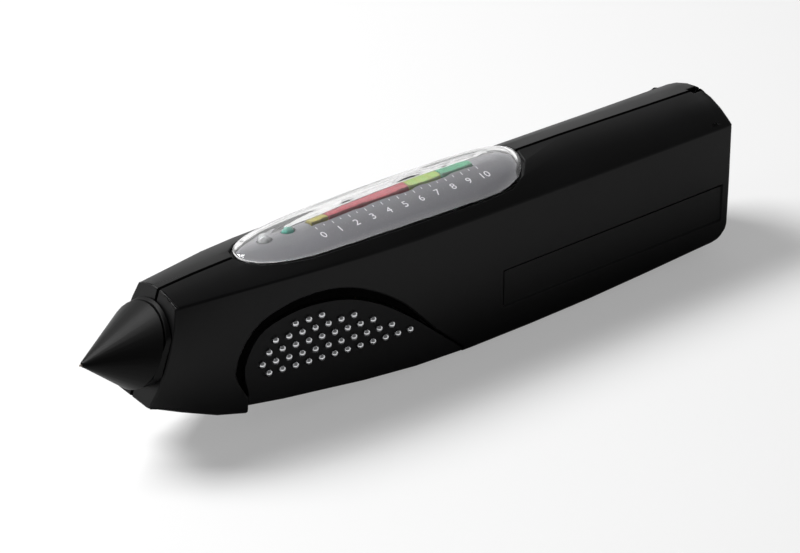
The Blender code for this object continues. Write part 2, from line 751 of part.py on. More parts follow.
def pad_window(name, hand):
    """Cutter for the window that a grip pad and its contact plate fill."""
    outline = with_foot(pad_outline())
    return side_prism(name, outline, (hand * PAD_KEEL_HALF, hand * (WIDTH / 2 + OVERRUN)))


def pad_groove(maker, name, hand):
    """Cutter for the groove round a grip pad, a little deeper than the pad's face."""
    outline = with_foot(flared(pad_outline()))
    made = side_prism(name, outline, (hand * (PAD_KEEL_HALF + GAP), hand * (WIDTH / 2 + OVERRUN)))
    floor = casing_form(f"{name}_floor", lambda station: sink_at(station) + GROOVE_DEPTH)
    cut(made, maker.cutter(floor))
    return made


def stud_places():
    """Stations and heights of the studs."""
    places = []
    last = len(STUD_ROWS) - 1
    for row, (count, offset) in enumerate(STUD_ROWS):
        for step in range(count):
            run = step * STUD_PITCH
            station = LENGTH * STUD_START_SHARE + offset * STUD_PITCH / 2 + run
            droop = run * STUD_DROOP_SHARE * (last - row)
            places.append((station, STUD_LOW_HEIGHT + row * HEIGHT * STUD_ROW_SHARE - droop))
    return places


def stud_bodies(name, hand, radius, rise, start_sink, sides=STUD_SIDES, domed=True):
    """Short round bodies at every stud's place, in one object."""
    shape = bmesh.new()
    outwards = Matrix.Rotation(-hand * math.pi / 2, 4, "X")
    dome = radius / 2 if domed else 0.0
    for station, height in stud_places():
        base = side_at(station, height, sink_at(station) + start_sink)
        top = side_at(station, height, sink_at(station)) + rise - dome
        middle = Matrix.Translation(place(station, hand * (base + top) / 2, height))
        made = bmesh.ops.create_cone(
            shape, cap_ends=True, segments=sides, radius1=radius, radius2=radius,
            depth=top - base, matrix=middle @ outwards,
        )
        if domed:
            faces = {face for vert in made["verts"] for face in vert.link_faces}
            outer = max(faces, key=lambda face: hand * face.calc_center_median()[1])
            bmesh.ops.poke(shape, faces=[outer], offset=dome)
    mesh = bpy.data.meshes.new(name)
    shape.to_mesh(mesh)
    shape.free()
    return bpy.data.objects.new(name, mesh)


def lens_outline(grow):
    """Ring of (station, side) points of the lens: nearly straight sides between two round ends."""
    first, last = LENS_STATION - grow, LENS_END_STATION + grow
    front = LENS_STATION + LENS_LENGTH * LENS_FRONT_SHARE
    rear = LENS_END_STATION - LENS_LENGTH * LENS_REAR_SHARE
    near, far = [], []
    for step in range(LENS_STEPS + 1):
        sweep = (1 - math.cos(math.pi * step / LENS_STEPS)) / 2
        station = first + sweep * (last - first)
        straight = ramp(station, front, rear, LENS_HALF * LENS_FRONT_HALF_SHARE, LENS_HALF)
        share = max((front - station) / (front - first), (station - rear) / (last - rear), 0.0)
        power = LENS_FRONT_POWER if station < front else LENS_REAR_POWER
        half = (straight + grow) * max(1 - share**power, 0.0) ** (1 / power)
        near.append((station, -half))
        far.append((station, half))
    return near + far[-2:0:-1]


def lens_ring(grow, rise_share, drop=0.0):
    """Ring of the lens outline over the casing's crown, up a share of the dome and down a drop."""
    ring = []
    for station, side in lens_outline(grow):
        along = min(max((station - LENS_STATION) / LENS_LENGTH, 0.0), 1.0)
        bow = LENS_END_RISE_SHARE + (1 - LENS_END_RISE_SHARE) * 4 * along * (1 - along)
        ring.append(place(station, side, crown_at(station, side) + LENS_RISE * rise_share * bow - drop))
    return ring


def lens_prism(name, grow, low=0.0):
    """Upright block with the lens outline, from a height up past the casing."""
    high = HEIGHT + OVERRUN
    return prism(name, lens_outline(grow), high - low, place(0.0, 0.0, (low + high) / 2))


def circle(station, height, radius, lean, turn_steps=CIRCLE_STEPS):
    """Ring of points about +X, leaning back at the top."""
    points = []
    for step in range(turn_steps):
        turn = 2 * math.pi * step / turn_steps
        up, side = radius * math.cos(turn), radius * math.sin(turn)
        points.append(place(station + up * math.sin(lean), side, height + up * math.cos(lean)))
    return points


def face_block(name, back):
    """Block that takes away all in front of the leaning face, moved back by a distance."""
    made = box(name, (LENGTH / 2 - OVERRUN * 2, LENGTH / 2), (-WIDTH, WIDTH), (-HEIGHT, HEIGHT))
    made.data.transform(Matrix.Translation(made.location))
    made.location = place(FACE_STATION + back, 0.0, PROBE_HEIGHT)
    made.rotation_euler = (0.0, FACE_LEAN, 0.0)
    return made


class Maker:
    """Keeps the finished pieces and the cutters in their own collections."""

    def __init__(self):
        self.pieces = collection("diamond_tester")
        self.cutters = collection("cutters")

    def piece(self, item, look, smooth=True):
        self.pieces.objects.link(item)
        item.data.materials.append(material(item.name, look))
        if smooth and item.type == "MESH":
            for face in item.data.polygons:
                face.use_smooth = True
        return item

    def cutter(self, item):
        self.cutters.objects.link(item)
        item.hide_render = True
        item.display_type = "WIRE"
        return item


def flat_form(name, inset):
    """Body of the casing drawn in evenly; a negative inset grows it."""
    return casing_form(name, lambda station: inset)


def shell_cutters(maker):
    """Everything that is taken from both half shells."""
    hollow = maker.cutter(casing_form("hollow", wall_at))
    cut(hollow, maker.cutter(face_block("hollow_front", FACE_WALL)))
    cutters = [hollow, maker.cutter(face_block("casing_front", 0.0))]
    carrier_hole = rod(
        "carrier_hole", CARRIER_RADIUS + GAP,
        place(0.0, 0.0, PROBE_HEIGHT), CARRIER_END_STATION + GAP,
    )
    cutters.append(maker.cutter(carrier_hole))
    cutters.append(maker.cutter(lens_prism("lens_window", -LENS_LEDGE, PROBE_HEIGHT)))
    ledge = maker.cutter(lens_prism("lens_ledge", GAP, PROBE_HEIGHT))
    cut(ledge, maker.cutter(flat_form("ledge_floor", LENS_RIM_SINK + GAP)))
    cutters.append(ledge)
    cutters.append(maker.cutter(rod(
        "button_hole", BUTTON_RADIUS + GAP,
        place(BUTTON_STATION, BUTTON_SIDE_OFFSET, BUTTON_HEIGHT), OVERRUN,
    )))
    slot = box(
        "seam_slot", SLOT_STATIONS, (-SLOT_HALF, SLOT_HALF),
        (top_at(SLOT_STATIONS[0]) - SLOT_DEPTH, HEIGHT + OVERRUN),
    )
    cutters.append(maker.cutter(slot))
    return cutters


def nose_rib(maker, shell, hand):
    """Rib that carries the rear end of the probe carrier."""
    half = side_at(NOSE_RIB_STATION, PROBE_HEIGHT) - RIB_BURIAL
    rib = box(
        f"nose_rib_{hand:+d}",
        (NOSE_RIB_STATION - RIB_THICK / 2, NOSE_RIB_STATION + RIB_THICK / 2),
        sorted((-hand * RIB_BURIAL, hand * half)),
        (PROBE_HEIGHT - NOSE_RIB_HALF_HEIGHT, PROBE_HEIGHT + NOSE_RIB_HALF_HEIGHT),
    )
    join(shell, maker.cutter(rib))


def board_ribs(maker, shell, hand, stations):
    """Ribs that hold the main board between the two shells."""
    face = MAIN_BOARD_FACE + GAP if hand > 0 else MAIN_BOARD_BACK - GAP
    for index, station in enumerate(stations):
        half = side_at(station, PROBE_HEIGHT) - RIB_BURIAL
        top = DISPLAY_BOARD_LOW - GAP if index == 0 else MAIN_BOARD_HEIGHTS[1]
        rib = box(
            f"board_rib_{hand:+d}_{index + 1}",
            (station - RIB_THICK / 2, station + RIB_THICK / 2),
            sorted((face, hand * half)),
            (MAIN_BOARD_HEIGHTS[0], top),
        )
        join(shell, maker.cutter(rib))


def display_rib(maker, shell, hand):
    """Short rib under the front end of the display board."""
    half = side_at(DISPLAY_RIB_STATION, DISPLAY_BOARD_LOW) - RIB_BURIAL
    rib = box(
        f"display_rib_{hand:+d}",
        (DISPLAY_RIB_STATION - RIB_THICK / 2, DISPLAY_RIB_STATION + RIB_THICK / 2),
        sorted((hand * DISPLAY_RIB_HALF, hand * half)),
        (DISPLAY_BOARD_LOW - RIB_THICK * 2, DISPLAY_BOARD_LOW - GAP),
    )
    join(shell, maker.cutter(rib))


def screw_bosses(maker, shell, hand):
    for index, (station, height) in enumerate(SCREW_PLACES):
        half = side_at(station, height) - RIB_BURIAL
        boss = rod(
            f"boss_{hand:+d}_{index + 1}", BOSS_RADIUS, place(station, -hand * RIB_BURIAL, height),
            half + RIB_BURIAL, (0.0, hand, 0.0), CELL_SIDES,
        )
        join(shell, maker.cutter(boss))


def screw_holes(maker, shell, hand):
    """Blind holes in the near shell, and stepped holes for the screws' heads in the far one."""
    for index, (station, height) in enumerate(SCREW_PLACES):
        start = place(station, -hand * GAP, height)
        if hand < 0:
            profile = ((0.0, SCREW_REACH + GAP * 2), (SCREW_RADIUS + GAP, SCREW_REACH + GAP * 2))
        else:
            half = side_at(station, height)
            seat = half - SCREW_HEAD_SINK - SCREW_HEAD_THICK
            end = half + OVERRUN
            profile = (
                (0.0, end), (SCREW_HEAD_RADIUS + GAP, end),
                (SCREW_HEAD_RADIUS + GAP, seat), (SCREW_RADIUS + GAP, seat),
            )
        profile += ((SCREW_RADIUS + GAP, 0.0), (0.0, 0.0))
        name = f"screw_hole_{hand:+d}_{index + 1}"
        cut(shell, maker.cutter(turned(name, profile, start, (0.0, hand, 0.0), CELL_SIDES)))


def build_shells(maker):
    shared = shell_cutters(maker)
    for name, hand in (("near_shell", -1), ("far_shell", 1)):
        shell = casing_form(name, lambda station: 0.0)
        cut(shell, shared[0])
        nose_rib(maker, shell, hand)
        display_rib(maker, shell, hand)
        screw_bosses(maker, shell, hand)
        # These run past the seam, and the split trims them flush with it.
        away = box(
            f"other_half_{hand:+d}", (-OVERRUN, LENGTH + OVERRUN),
            sorted((hand * GAP / 2, -hand * WIDTH)), (-OVERRUN, HEIGHT + OVERRUN),
        )
        cut(shell, maker.cutter(away))
        # The far board rib crosses the seam to reach the board, so it comes after the split.
        board_ribs(maker, shell, hand, BOARD_RIB_STATIONS if hand < 0 else BOARD_RIB_STATIONS[:1])
        for cutter in shared[1:]:
            cut(shell, cutter)
        screw_holes(maker, shell, hand)
        cut(shell, maker.cutter(pad_window(f"pad_window_{hand:+d}", hand)))
        cut(shell, maker.cutter(pad_groove(maker, f"pad_groove_{hand:+d}", hand)))
        if hand < 0:
            label = box(
                "label_recess", LABEL_STATIONS,
                (-WIDTH / 2 - OVERRUN, -WIDTH / 2 + LABEL_DEPTH), LABEL_HEIGHTS,
            )
            cut(shell, maker.cutter(label))
            high = SOCKET_TALL / 2 + GAP
            mouth = box(
                "socket_hole", (SOCKET_END_STATION - SOCKET_LENGTH / 2, LENGTH + OVERRUN),
                (MAIN_BOARD_BACK - GAP * 2 - SOCKET_THICK, MAIN_BOARD_BACK),
                (SOCKET_HEIGHT - high, SOCKET_HEIGHT + high),
            )
            cut(shell, maker.cutter(mouth))
        else:
            bay = box("battery_opening", COVER_STATIONS, (COVER_DEPTH, WIDTH), COVER_HEIGHTS)
            cut(shell, maker.cutter(bay))
        maker.piece(shell, BLACK)


def build_grips(maker):
    for name, hand in (("near", -1), ("far", 1)):
        pad = pad_prism(f"grip_pad_{name}", hand, PAD_KEEL_HALF + GAP, GAP)
        keep(pad, maker.cutter(casing_form(f"pad_face_{name}", sink_at)))
        back = casing_form(f"pad_back_{name}", lambda station: sink_at(station) + PAD_THICK)
        cut(pad, maker.cutter(back))
        holes = stud_bodies(
            f"stud_holes_{name}", hand, STUD_RADIUS + GAP, STUD_RISE * 3, PAD_THICK * 2, HOLE_SIDES, False,
        )
        cut(pad, maker.cutter(holes))
        maker.piece(pad, SATIN_BLACK)

        plate = pad_prism(f"contact_plate_{name}", hand, PAD_KEEL_HALF + GAP, PLATE_MARGIN)
        plate_face = PAD_THICK + GAP
        face = casing_form(f"plate_face_{name}", lambda station: sink_at(station) + plate_face)
        keep(plate, maker.cutter(face))
        plate_back = plate_face + PLATE_THICK
        back = casing_form(f"plate_back_{name}", lambda station: sink_at(station) + plate_back)
        cut(plate, maker.cutter(back))
        low = box(
            f"plate_foot_{name}", (0.0, LENGTH), (-WIDTH, WIDTH),
            (-OVERRUN, STUD_LOW_HEIGHT - PLATE_MARGIN - STUD_PITCH / 2),
        )
        cut(plate, maker.cutter(low))
        studs = stud_bodies(f"studs_{name}", hand, STUD_RADIUS, STUD_RISE, plate_face + PLATE_THICK / 2)
        join(plate, maker.cutter(studs))
        maker.piece(plate, CHROME)


def build_display(maker):
    rings = [lens_ring(-LENS_HALF * inward, lift) for inward, lift in reversed(LENS_DOME_SHARES)]
    rings.append(lens_ring(0.0, 0.0, LENS_RIM_SINK))
    rings.append(lens_ring(-LENS_THICK, 0.0, LENS_RIM_SINK))
    for inward, lift in LENS_DOME_SHARES[1:]:
        rings.append(lens_ring(-LENS_HALF * inward - LENS_THICK, lift, LENS_THICK))
    maker.piece(loft("lens", rings), CLEAR)

    legend = lens_prism("legend_plate", -LENS_LEDGE - GAP, PROBE_HEIGHT)
    keep(legend, maker.cutter(flat_form("legend_face", LEGEND_SINK)))
    cut(legend, maker.cutter(flat_form("legend_back", LEGEND_SINK + LEGEND_THICK)))
    bar_sides = (BAR_MIDDLE - BAR_WIDTH / 2, BAR_MIDDLE + BAR_WIDTH / 2)
    bar_window = box(
        "bar_window", (BAR_STATIONS[0] - GAP, BAR_STATIONS[-1] + GAP),
        (bar_sides[0] - GAP, bar_sides[1] + GAP), (0.0, HEIGHT + OVERRUN),
    )
    cut(legend, maker.cutter(bar_window))
    board_top = DISPLAY_BOARD_LOW + BOARD_THICK
    for name, station in zip(LAMP_NAMES, LAMP_STATIONS):
        foot = place(station, LAMP_MIDDLE, board_top + GAP)
        height = crown_at(station, LAMP_MIDDLE) + LAMP_RISE - foot[2]
        hole = rod(f"{name}_hole", LAMP_RADIUS + GAP, foot, OVERRUN, (0.0, 0.0, 1.0), CELL_SIDES)
        cut(legend, maker.cutter(hole))
        dome = [(0.0, height)]
        for share in LAMP_DOME_SHARES:
            turn = share * math.pi / 2
            dome.append((LAMP_RADIUS * math.sin(turn), height - LAMP_RADIUS * (1 - math.cos(turn))))
        dome += [(LAMP_RADIUS, 0.0), (0.0, 0.0)]
        lamp = turned(name, dome, foot, (0.0, 0.0, 1.0), CELL_SIDES)
        maker.piece(lamp, CLEAR if name == LAMP_NAMES[0] else TEAL)
    maker.piece(legend, GREY)
    looks = (YELLOW, RED, LIME, EMERALD)
    for name, front, rear, look in zip(BAR_NAMES, BAR_STATIONS, BAR_STATIONS[1:], looks):
        last = rear if rear == BAR_STATIONS[-1] else rear - GAP
        maker.piece(box(name, (front, last), bar_sides, (BAR_TOP - BAR_THICK, BAR_TOP)), look, False)
    strip_low = board_top + GAP
    strip = box(
        "led_strip", (BAR_STATIONS[0], BAR_STATIONS[-1]), bar_sides,
        (strip_low, BAR_TOP - BAR_THICK - GAP),
    )
    maker.piece(strip, WHITE, False)
    board = box(
        "display_board", DISPLAY_BOARD_STATIONS, (-DISPLAY_BOARD_HALF, DISPLAY_BOARD_HALF),
        (DISPLAY_BOARD_LOW, board_top),
    )
    maker.piece(board, GREEN_BOARD, False)


def build_nose(maker):
    cone = loft("nose_cone", [
        circle(CONE_END_STATION, PROBE_HEIGHT, CONE_END_RADIUS, 0.0),
        circle(CONE_TIP_STATION, PROBE_HEIGHT, CONE_TIP_RADIUS, 0.0),
        circle(CONE_STATION, PROBE_HEIGHT, CONE_RADIUS, CONE_LEAN),
    ])
    hollow = loft("cone_hollow", [
        circle(CONE_BORE_STATION, PROBE_HEIGHT, SLEEVE_RADIUS, 0.0),
        circle(CONE_STATION, PROBE_HEIGHT, CONE_RADIUS - CONE_WALL, CONE_LEAN),
        circle(CONE_STATION + CONE_WALL, PROBE_HEIGHT, CONE_RADIUS - CONE_WALL, CONE_LEAN),
    ])
    cut(cone, maker.cutter(hollow))
    origin = place(0.0, 0.0, PROBE_HEIGHT)
    sleeve_seat = rod(
        "sleeve_seat", SLEEVE_RADIUS + GAP, origin + Vector((SLEEVE_STATION - GAP, 0.0, 0.0)), CONE_STATION,
    )
    cut(cone, maker.cutter(sleeve_seat))
    wire_hole = rod(
        "wire_hole", WIRE_RADIUS + GAP, place(-OVERRUN, 0.0, PROBE_HEIGHT), OVERRUN + CONE_STATION,
    )
    cut(cone, maker.cutter(wire_hole))
    maker.piece(cone, BLACK)

    collar = loft("nose_collar", [
        circle(COLLAR_FRONT_STATION + GAP, PROBE_HEIGHT, CONE_RADIUS, CONE_LEAN),
        circle(COLLAR_REAR_STATION, PROBE_HEIGHT, CONE_RADIUS, FACE_LEAN),
    ])
    bore = rod("collar_bore", COLLAR_BORE_RADIUS, origin, CARRIER_END_STATION)
    cut(collar, maker.cutter(bore))
    for hand in (-1, 1):
        side = box(
            f"collar_flat_{hand:+d}", (0.0, CARRIER_END_STATION),
            sorted((hand * COLLAR_FLAT_HALF, hand * WIDTH)), (0.0, HEIGHT),
        )
        cut(collar, maker.cutter(side))
    maker.piece(collar, BLACK)

    pin_profile = (
        (0.0, SHANK_END_STATION), (SHANK_RADIUS, SHANK_END_STATION),
        (SHANK_RADIUS, FLANGE_STATION + FLANGE_THICK), (FLANGE_RADIUS, FLANGE_STATION + FLANGE_THICK),
        (FLANGE_RADIUS, FLANGE_STATION), (SHANK_RADIUS, FLANGE_STATION),
        (SHANK_RADIUS, WIRE_END_STATION), (WIRE_RADIUS, WIRE_END_STATION),
        (WIRE_RADIUS, WIRE_RADIUS / 2), (WIRE_RADIUS / 2, 0.0), (0.0, 0.0),
    )
    maker.piece(turned("probe_pin", pin_profile, origin, steps=CELL_SIDES), COPPER)
    sleeve = ring_body(
        "probe_sleeve", WIRE_RADIUS + GAP, SLEEVE_RADIUS, place(SLEEVE_STATION, 0.0, PROBE_HEIGHT),
        SLEEVE_END_STATION - SLEEVE_STATION, steps=CELL_SIDES,
    )
    maker.piece(sleeve, WHITE)
    shank_hole = SHANK_RADIUS + GAP
    carrier_length = CARRIER_END_STATION - CARRIER_STATION
    front_depth = CARRIER_FRONT_STATION - CARRIER_STATION
    carrier_profile = (
        (CARRIER_RADIUS, carrier_length), (CARRIER_RADIUS, 0.0), (shank_hole, 0.0),
        (shank_hole, front_depth), (CARRIER_BORE_RADIUS, front_depth), (CARRIER_BORE_RADIUS, carrier_length),
    )
    carrier = turned("probe_carrier", carrier_profile, place(CARRIER_STATION, 0.0, PROBE_HEIGHT))
    maker.piece(carrier, GREY)
    cap = ring_body(
        "spring_cap", shank_hole, CARRIER_BORE_RADIUS - GAP, place(CAP_STATION, 0.0, PROBE_HEIGHT),
        CARRIER_END_STATION - CAP_STATION, steps=CELL_SIDES,
    )
    maker.piece(cap, BRASS)
    spring_start = FLANGE_STATION + FLANGE_THICK + GAP
    spring = coil(
        "probe_spring", place(spring_start, 0.0, PROBE_HEIGHT), CAP_STATION - GAP - spring_start,
        SPRING_COIL_RADIUS, SPRING_TURNS, SPRING_WIRE_RADIUS,
    )
    maker.piece(spring, CHROME)
    heater_front = SHANK_END_STATION + GAP
    half = HEATER_SIDE / 2
    heater = box(
        "heater_block", (heater_front, heater_front + HEATER_LENGTH),
        (-half, half), (PROBE_HEIGHT - half, PROBE_HEIGHT + half),
    )
    maker.piece(heater, COPPER, False)


def build_boards(maker):
    face, back = MAIN_BOARD_FACE, MAIN_BOARD_BACK
    board = box("main_board", MAIN_BOARD_STATIONS, (back, face), MAIN_BOARD_HEIGHTS)
    maker.piece(board, GREEN_BOARD, False)
    middle = sum(MAIN_BOARD_HEIGHTS) / 2
    half = CHIP_SIDE / 2
    chip = box(
        "controller_chip", (CHIP_STATION - half, CHIP_STATION + half),
        (face + GAP, face + GAP + CHIP_THICK), (middle - half, middle + half),
    )
    maker.piece(chip, SATIN_BLACK, False)
    buzzer = rod(
        "buzzer", BUZZER_RADIUS, place(BUZZER_STATION, face + GAP, BUZZER_HEIGHT),
        BUZZER_THICK, (0.0, 1.0, 0.0), CELL_SIDES,
    )
    maker.piece(buzzer, SATIN_BLACK)
    board_middle = (face + back) / 2
    header = box(
        "display_header", HEADER_STATIONS,
        (board_middle - HEADER_THICK / 2, board_middle + HEADER_THICK / 2),
        (MAIN_BOARD_HEIGHTS[1] + GAP, DISPLAY_BOARD_LOW - GAP),
    )
    maker.piece(header, SATIN_BLACK, False)


def build_rear(maker):
    back = MAIN_BOARD_BACK - GAP
    heights = (SOCKET_HEIGHT - SOCKET_TALL / 2, SOCKET_HEIGHT + SOCKET_TALL / 2)
    stations = (SOCKET_END_STATION - SOCKET_LENGTH, SOCKET_END_STATION)
    socket = box("usb_socket", stations, (back - SOCKET_THICK, back), heights)
    mouth = box(
        "socket_mouth", (SOCKET_END_STATION - SOCKET_DEPTH, LENGTH + OVERRUN),
        (back - SOCKET_THICK + SOCKET_WALL, back - SOCKET_WALL),
        (heights[0] + SOCKET_WALL, heights[1] - SOCKET_WALL),
    )
    cut(socket, maker.cutter(mouth))
    maker.piece(socket, CHROME, False)

    switch = box(
        "power_switch", SWITCH_STATIONS, (MAIN_BOARD_FACE + GAP, MAIN_BOARD_FACE + GAP + SWITCH_DEPTH),
        (BUTTON_HEIGHT - SWITCH_HALF_TALL, BUTTON_HEIGHT + SWITCH_HALF_TALL),
    )
    stem = rod(
        "switch_stem", SWITCH_STEM_RADIUS,
        place(SWITCH_STATIONS[1] - GAP, BUTTON_SIDE_OFFSET, BUTTON_HEIGHT),
        SWITCH_STEM_LENGTH + GAP, steps=CELL_SIDES,
    )
    join(switch, maker.cutter(stem))
    maker.piece(switch, GREY, False)
    button_profile = (
        (0.0, BUTTON_LENGTH), (BUTTON_RADIUS - BUTTON_EDGE, BUTTON_LENGTH),
        (BUTTON_RADIUS, BUTTON_LENGTH - BUTTON_EDGE),
        (BUTTON_RADIUS, BUTTON_FLANGE_THICK), (BUTTON_FLANGE_RADIUS, BUTTON_FLANGE_THICK),
        (BUTTON_FLANGE_RADIUS, 0.0), (0.0, 0.0),
    )
    button = turned(
        "power_button", button_profile, place(BUTTON_STATION, BUTTON_SIDE_OFFSET, BUTTON_HEIGHT),
    )
    maker.piece(button, SATIN_BLACK)


def build_batteries(maker):
    tray = box(
        "battery_tray", TRAY_STATIONS,
        (CELL_BACK - TRAY_WALL, CELL_BACK + CELL_RADIUS * 2 - TRAY_SHALLOW),
        TRAY_HEIGHTS,
    )
    space = box(
        "tray_space", (TRAY_STATIONS[0] + TRAY_WALL, TRAY_STATIONS[1] - TRAY_WALL),
        (CELL_BACK, WIDTH), (-OVERRUN, HEIGHT + OVERRUN),
    )
    cut(tray, maker.cutter(space))
    heights = [CELL_LOW_HEIGHT + index * CELL_PITCH for index in range(CELL_COUNT)]
    for index, (low, high) in enumerate(zip(heights, heights[1:])):
        middle = (low + high) / 2
        ridge = box(
            f"tray_ridge_{index + 1}", (CELL_STATION + CELL_PITCH, CELL_STATION + CELL_LENGTH - CELL_PITCH),
            (CELL_BACK - TRAY_WALL / 2, CELL_BACK + RIDGE_DEPTH),
            (middle - RIDGE_THICK / 2, middle + RIDGE_THICK / 2),
        )
        join(tray, maker.cutter(ridge))
    maker.piece(tray, SATIN_BLACK, False)

    for index, height in enumerate(heights):
        nub = CELL_LENGTH + CELL_NUB_LENGTH
        edge = CELL_NUB_LENGTH / 2
        profile = (
            (0.0, nub), (CELL_NUB_RADIUS, nub), (CELL_NUB_RADIUS, CELL_LENGTH),
            (CELL_RADIUS - edge, CELL_LENGTH), (CELL_RADIUS, CELL_LENGTH - edge),
            (CELL_RADIUS, 0.0), (0.0, 0.0),
        )
        cell = turned(
            f"battery_cell_{index + 1}", profile, place(CELL_STATION, CELL_MIDDLE, height), steps=CELL_SIDES,
        )
        maker.piece(cell, GREY)
        spring_start = TRAY_STATIONS[0] + TRAY_WALL + GAP
        spring = coil(
            f"battery_spring_{index + 1}", place(spring_start, CELL_MIDDLE, height),
            CELL_STATION - GAP - spring_start, BATTERY_SPRING_RADIUS, BATTERY_SPRING_TURNS,
            SPRING_WIRE_RADIUS,
        )
        maker.piece(spring, CHROME)
        tab_start = CELL_STATION + nub + GAP
        half = TAB_SIDE / 2
        tab = box(
            f"battery_tab_{index + 1}", (tab_start, tab_start + TAB_THICK),
            (CELL_MIDDLE - half, CELL_MIDDLE + half), (height - half, height + half),
        )
        maker.piece(tab, CHROME, False)

    stations = (COVER_STATIONS[0] + GAP, COVER_STATIONS[1] - GAP)
    heights = (COVER_HEIGHTS[0] + GAP, COVER_HEIGHTS[1] - GAP)
    cover = box("battery_cover", stations, (COVER_DEPTH + GAP, WIDTH), heights)
    keep(cover, maker.cutter(flat_form("cover_face", 0.0)))
    cut(cover, maker.cutter(flat_form("cover_back", COVER_THICK)))
    notch = rod(
        "cover_notch", COVER_NOTCH_RADIUS,
        place(stations[1], WIDTH / 2 - COVER_NOTCH_DEPTH, sum(heights) / 2), OVERRUN,
        (0.0, 1.0, 0.0), CELL_SIDES,
    )
    cut(cover, maker.cutter(notch))
    maker.piece(cover, BLACK)


def build_screws(maker):
    for index, (station, height) in enumerate(SCREW_PLACES):
        head = side_at(station, height) - SCREW_HEAD_SINK
        length = head + SCREW_REACH
        shank = length - SCREW_HEAD_THICK
        profile = (
            (0.0, length), (SCREW_HEAD_RADIUS, length), (SCREW_HEAD_RADIUS, shank),
            (SCREW_RADIUS, shank), (SCREW_RADIUS, 0.0), (0.0, 0.0),
        )
        screw = turned(
            f"case_screw_{index + 1}", profile, place(station, -SCREW_REACH, height),
            (0.0, 1.0, 0.0), CELL_SIDES,
        )
        half = SCREW_SLOT_WIDTH / 2
        for turn, (wide, tall) in enumerate(((SCREW_RADIUS, half), (half, SCREW_RADIUS))):
            slot = box(
                f"screw_slot_{index + 1}_{turn + 1}", (station - wide, station + wide),
                (head - SCREW_HEAD_THICK / 2, head + OVERRUN), (height - tall, height + tall),
            )
            cut(screw, maker.cutter(slot))
        maker.piece(screw, CHROME)


def leaf(maker, name, hand):
    """Bent strip that leads from the main board to a contact plate."""
    low, high = MAIN_BOARD_HEIGHTS
    board = MAIN_BOARD_FACE + GAP if hand > 0 else MAIN_BOARD_BACK - GAP
    top, bend, foot = low + (high - low) / 2, low + (high - low) / 4, low + (high - low) / 8
    middle = sum(LEAF_STATIONS) / 2
    sunk = sink_at(middle) + PAD_THICK + PLATE_THICK + GAP * 3
    reach = hand * side_at(middle, foot, sunk)
    start = board + hand * LEAF_THICK
    outline = (
        (board, top), (start, top), (start, bend + LEAF_THICK), (reach, foot + LEAF_THICK),
        (reach, foot), (board, bend),
    )
    strip = loft(name, [
        [place(station, side, height) for side, height in outline] for station in LEAF_STATIONS
    ])
    maker.piece(strip, BRASS, False)


def build_leads(maker):
    leaf(maker, "contact_leaf_near", -1)
    leaf(maker, "contact_leaf_far", 1)
    board_low = MAIN_BOARD_HEIGHTS[0]
    board_end = MAIN_BOARD_STATIONS[0] - GAP
    for index, hand in enumerate((-1, 1)):
        drop = CARRIER_RADIUS - LEAD_RADIUS * 2
        start = CARRIER_END_STATION + GAP
        side = hand * LEAD_RADIUS * 2
        height = board_low + BOARD_THICK * (2 + index * 2)
        line = smooth_line((
            place(start, side, PROBE_HEIGHT - drop),
            place(start + CARRIER_RADIUS, side, PROBE_HEIGHT - drop - CARRIER_RADIUS / 2),
            place(
                (start + board_end) / 2, side + MAIN_BOARD_FACE / 2,
                (PROBE_HEIGHT + height) / 2 - CARRIER_RADIUS,
            ),
            place(board_end - CARRIER_RADIUS, MAIN_BOARD_FACE - BOARD_THICK / 2, height),
            place(board_end, MAIN_BOARD_FACE - BOARD_THICK / 2, height),
        ), LEAD_STEPS)
        maker.piece(wire(f"probe_lead_{index + 1}", line, LEAD_RADIUS), (RED, WHITE)[index])
    face = MAIN_BOARD_FACE + GAP + LEAD_RADIUS
    tray = TRAY_FRONT - GAP
    run = (tray - PILLAR_STATION) * LEAD_RUN_SHARE
    stub = Vector((LEAD_STUB, 0.0, 0.0))
    # The low lead passes under the buzzer, and the high one ends under the board's top edge
    routes = (
        (CELL_LOW_HEIGHT + CELL_PITCH / 2, BUZZER_HEIGHT - BUZZER_RADIUS - LOW_LEAD_DROP, 1, SATIN_BLACK),
        (CELL_LOW_HEIGHT + CELL_PITCH * (CELL_COUNT - 1), MAIN_BOARD_HEIGHTS[1] - HIGH_LEAD_DROP, -1, RED),
    )
    for index, (start_height, end_height, bend, look) in enumerate(routes):
        start = place(tray, 0.0, start_height)
        end = place(tray - run, face, end_height)
        bow = Vector((0.0, 0.0, LEAD_BOW)) * bend
        points = (start, start - stub, (start + end) / 2 - bow, end + stub, end)
        lead = wire(f"battery_lead_{index + 1}", smooth_line(points, LEAD_STEPS), LEAD_RADIUS)
        maker.piece(lead, look)


def main():
    clear_scene()
    maker = Maker()
    build_shells(maker)
    build_grips(maker)
    build_display(maker)
    build_nose(maker)
    build_boards(maker)
    build_rear(maker)
    build_batteries(maker)
    build_screws(maker)
    build_leads(maker)


main()
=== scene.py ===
"""Finishes, printed scale, light and camera for a hand-held diamond tester, as a Blender add-on."""

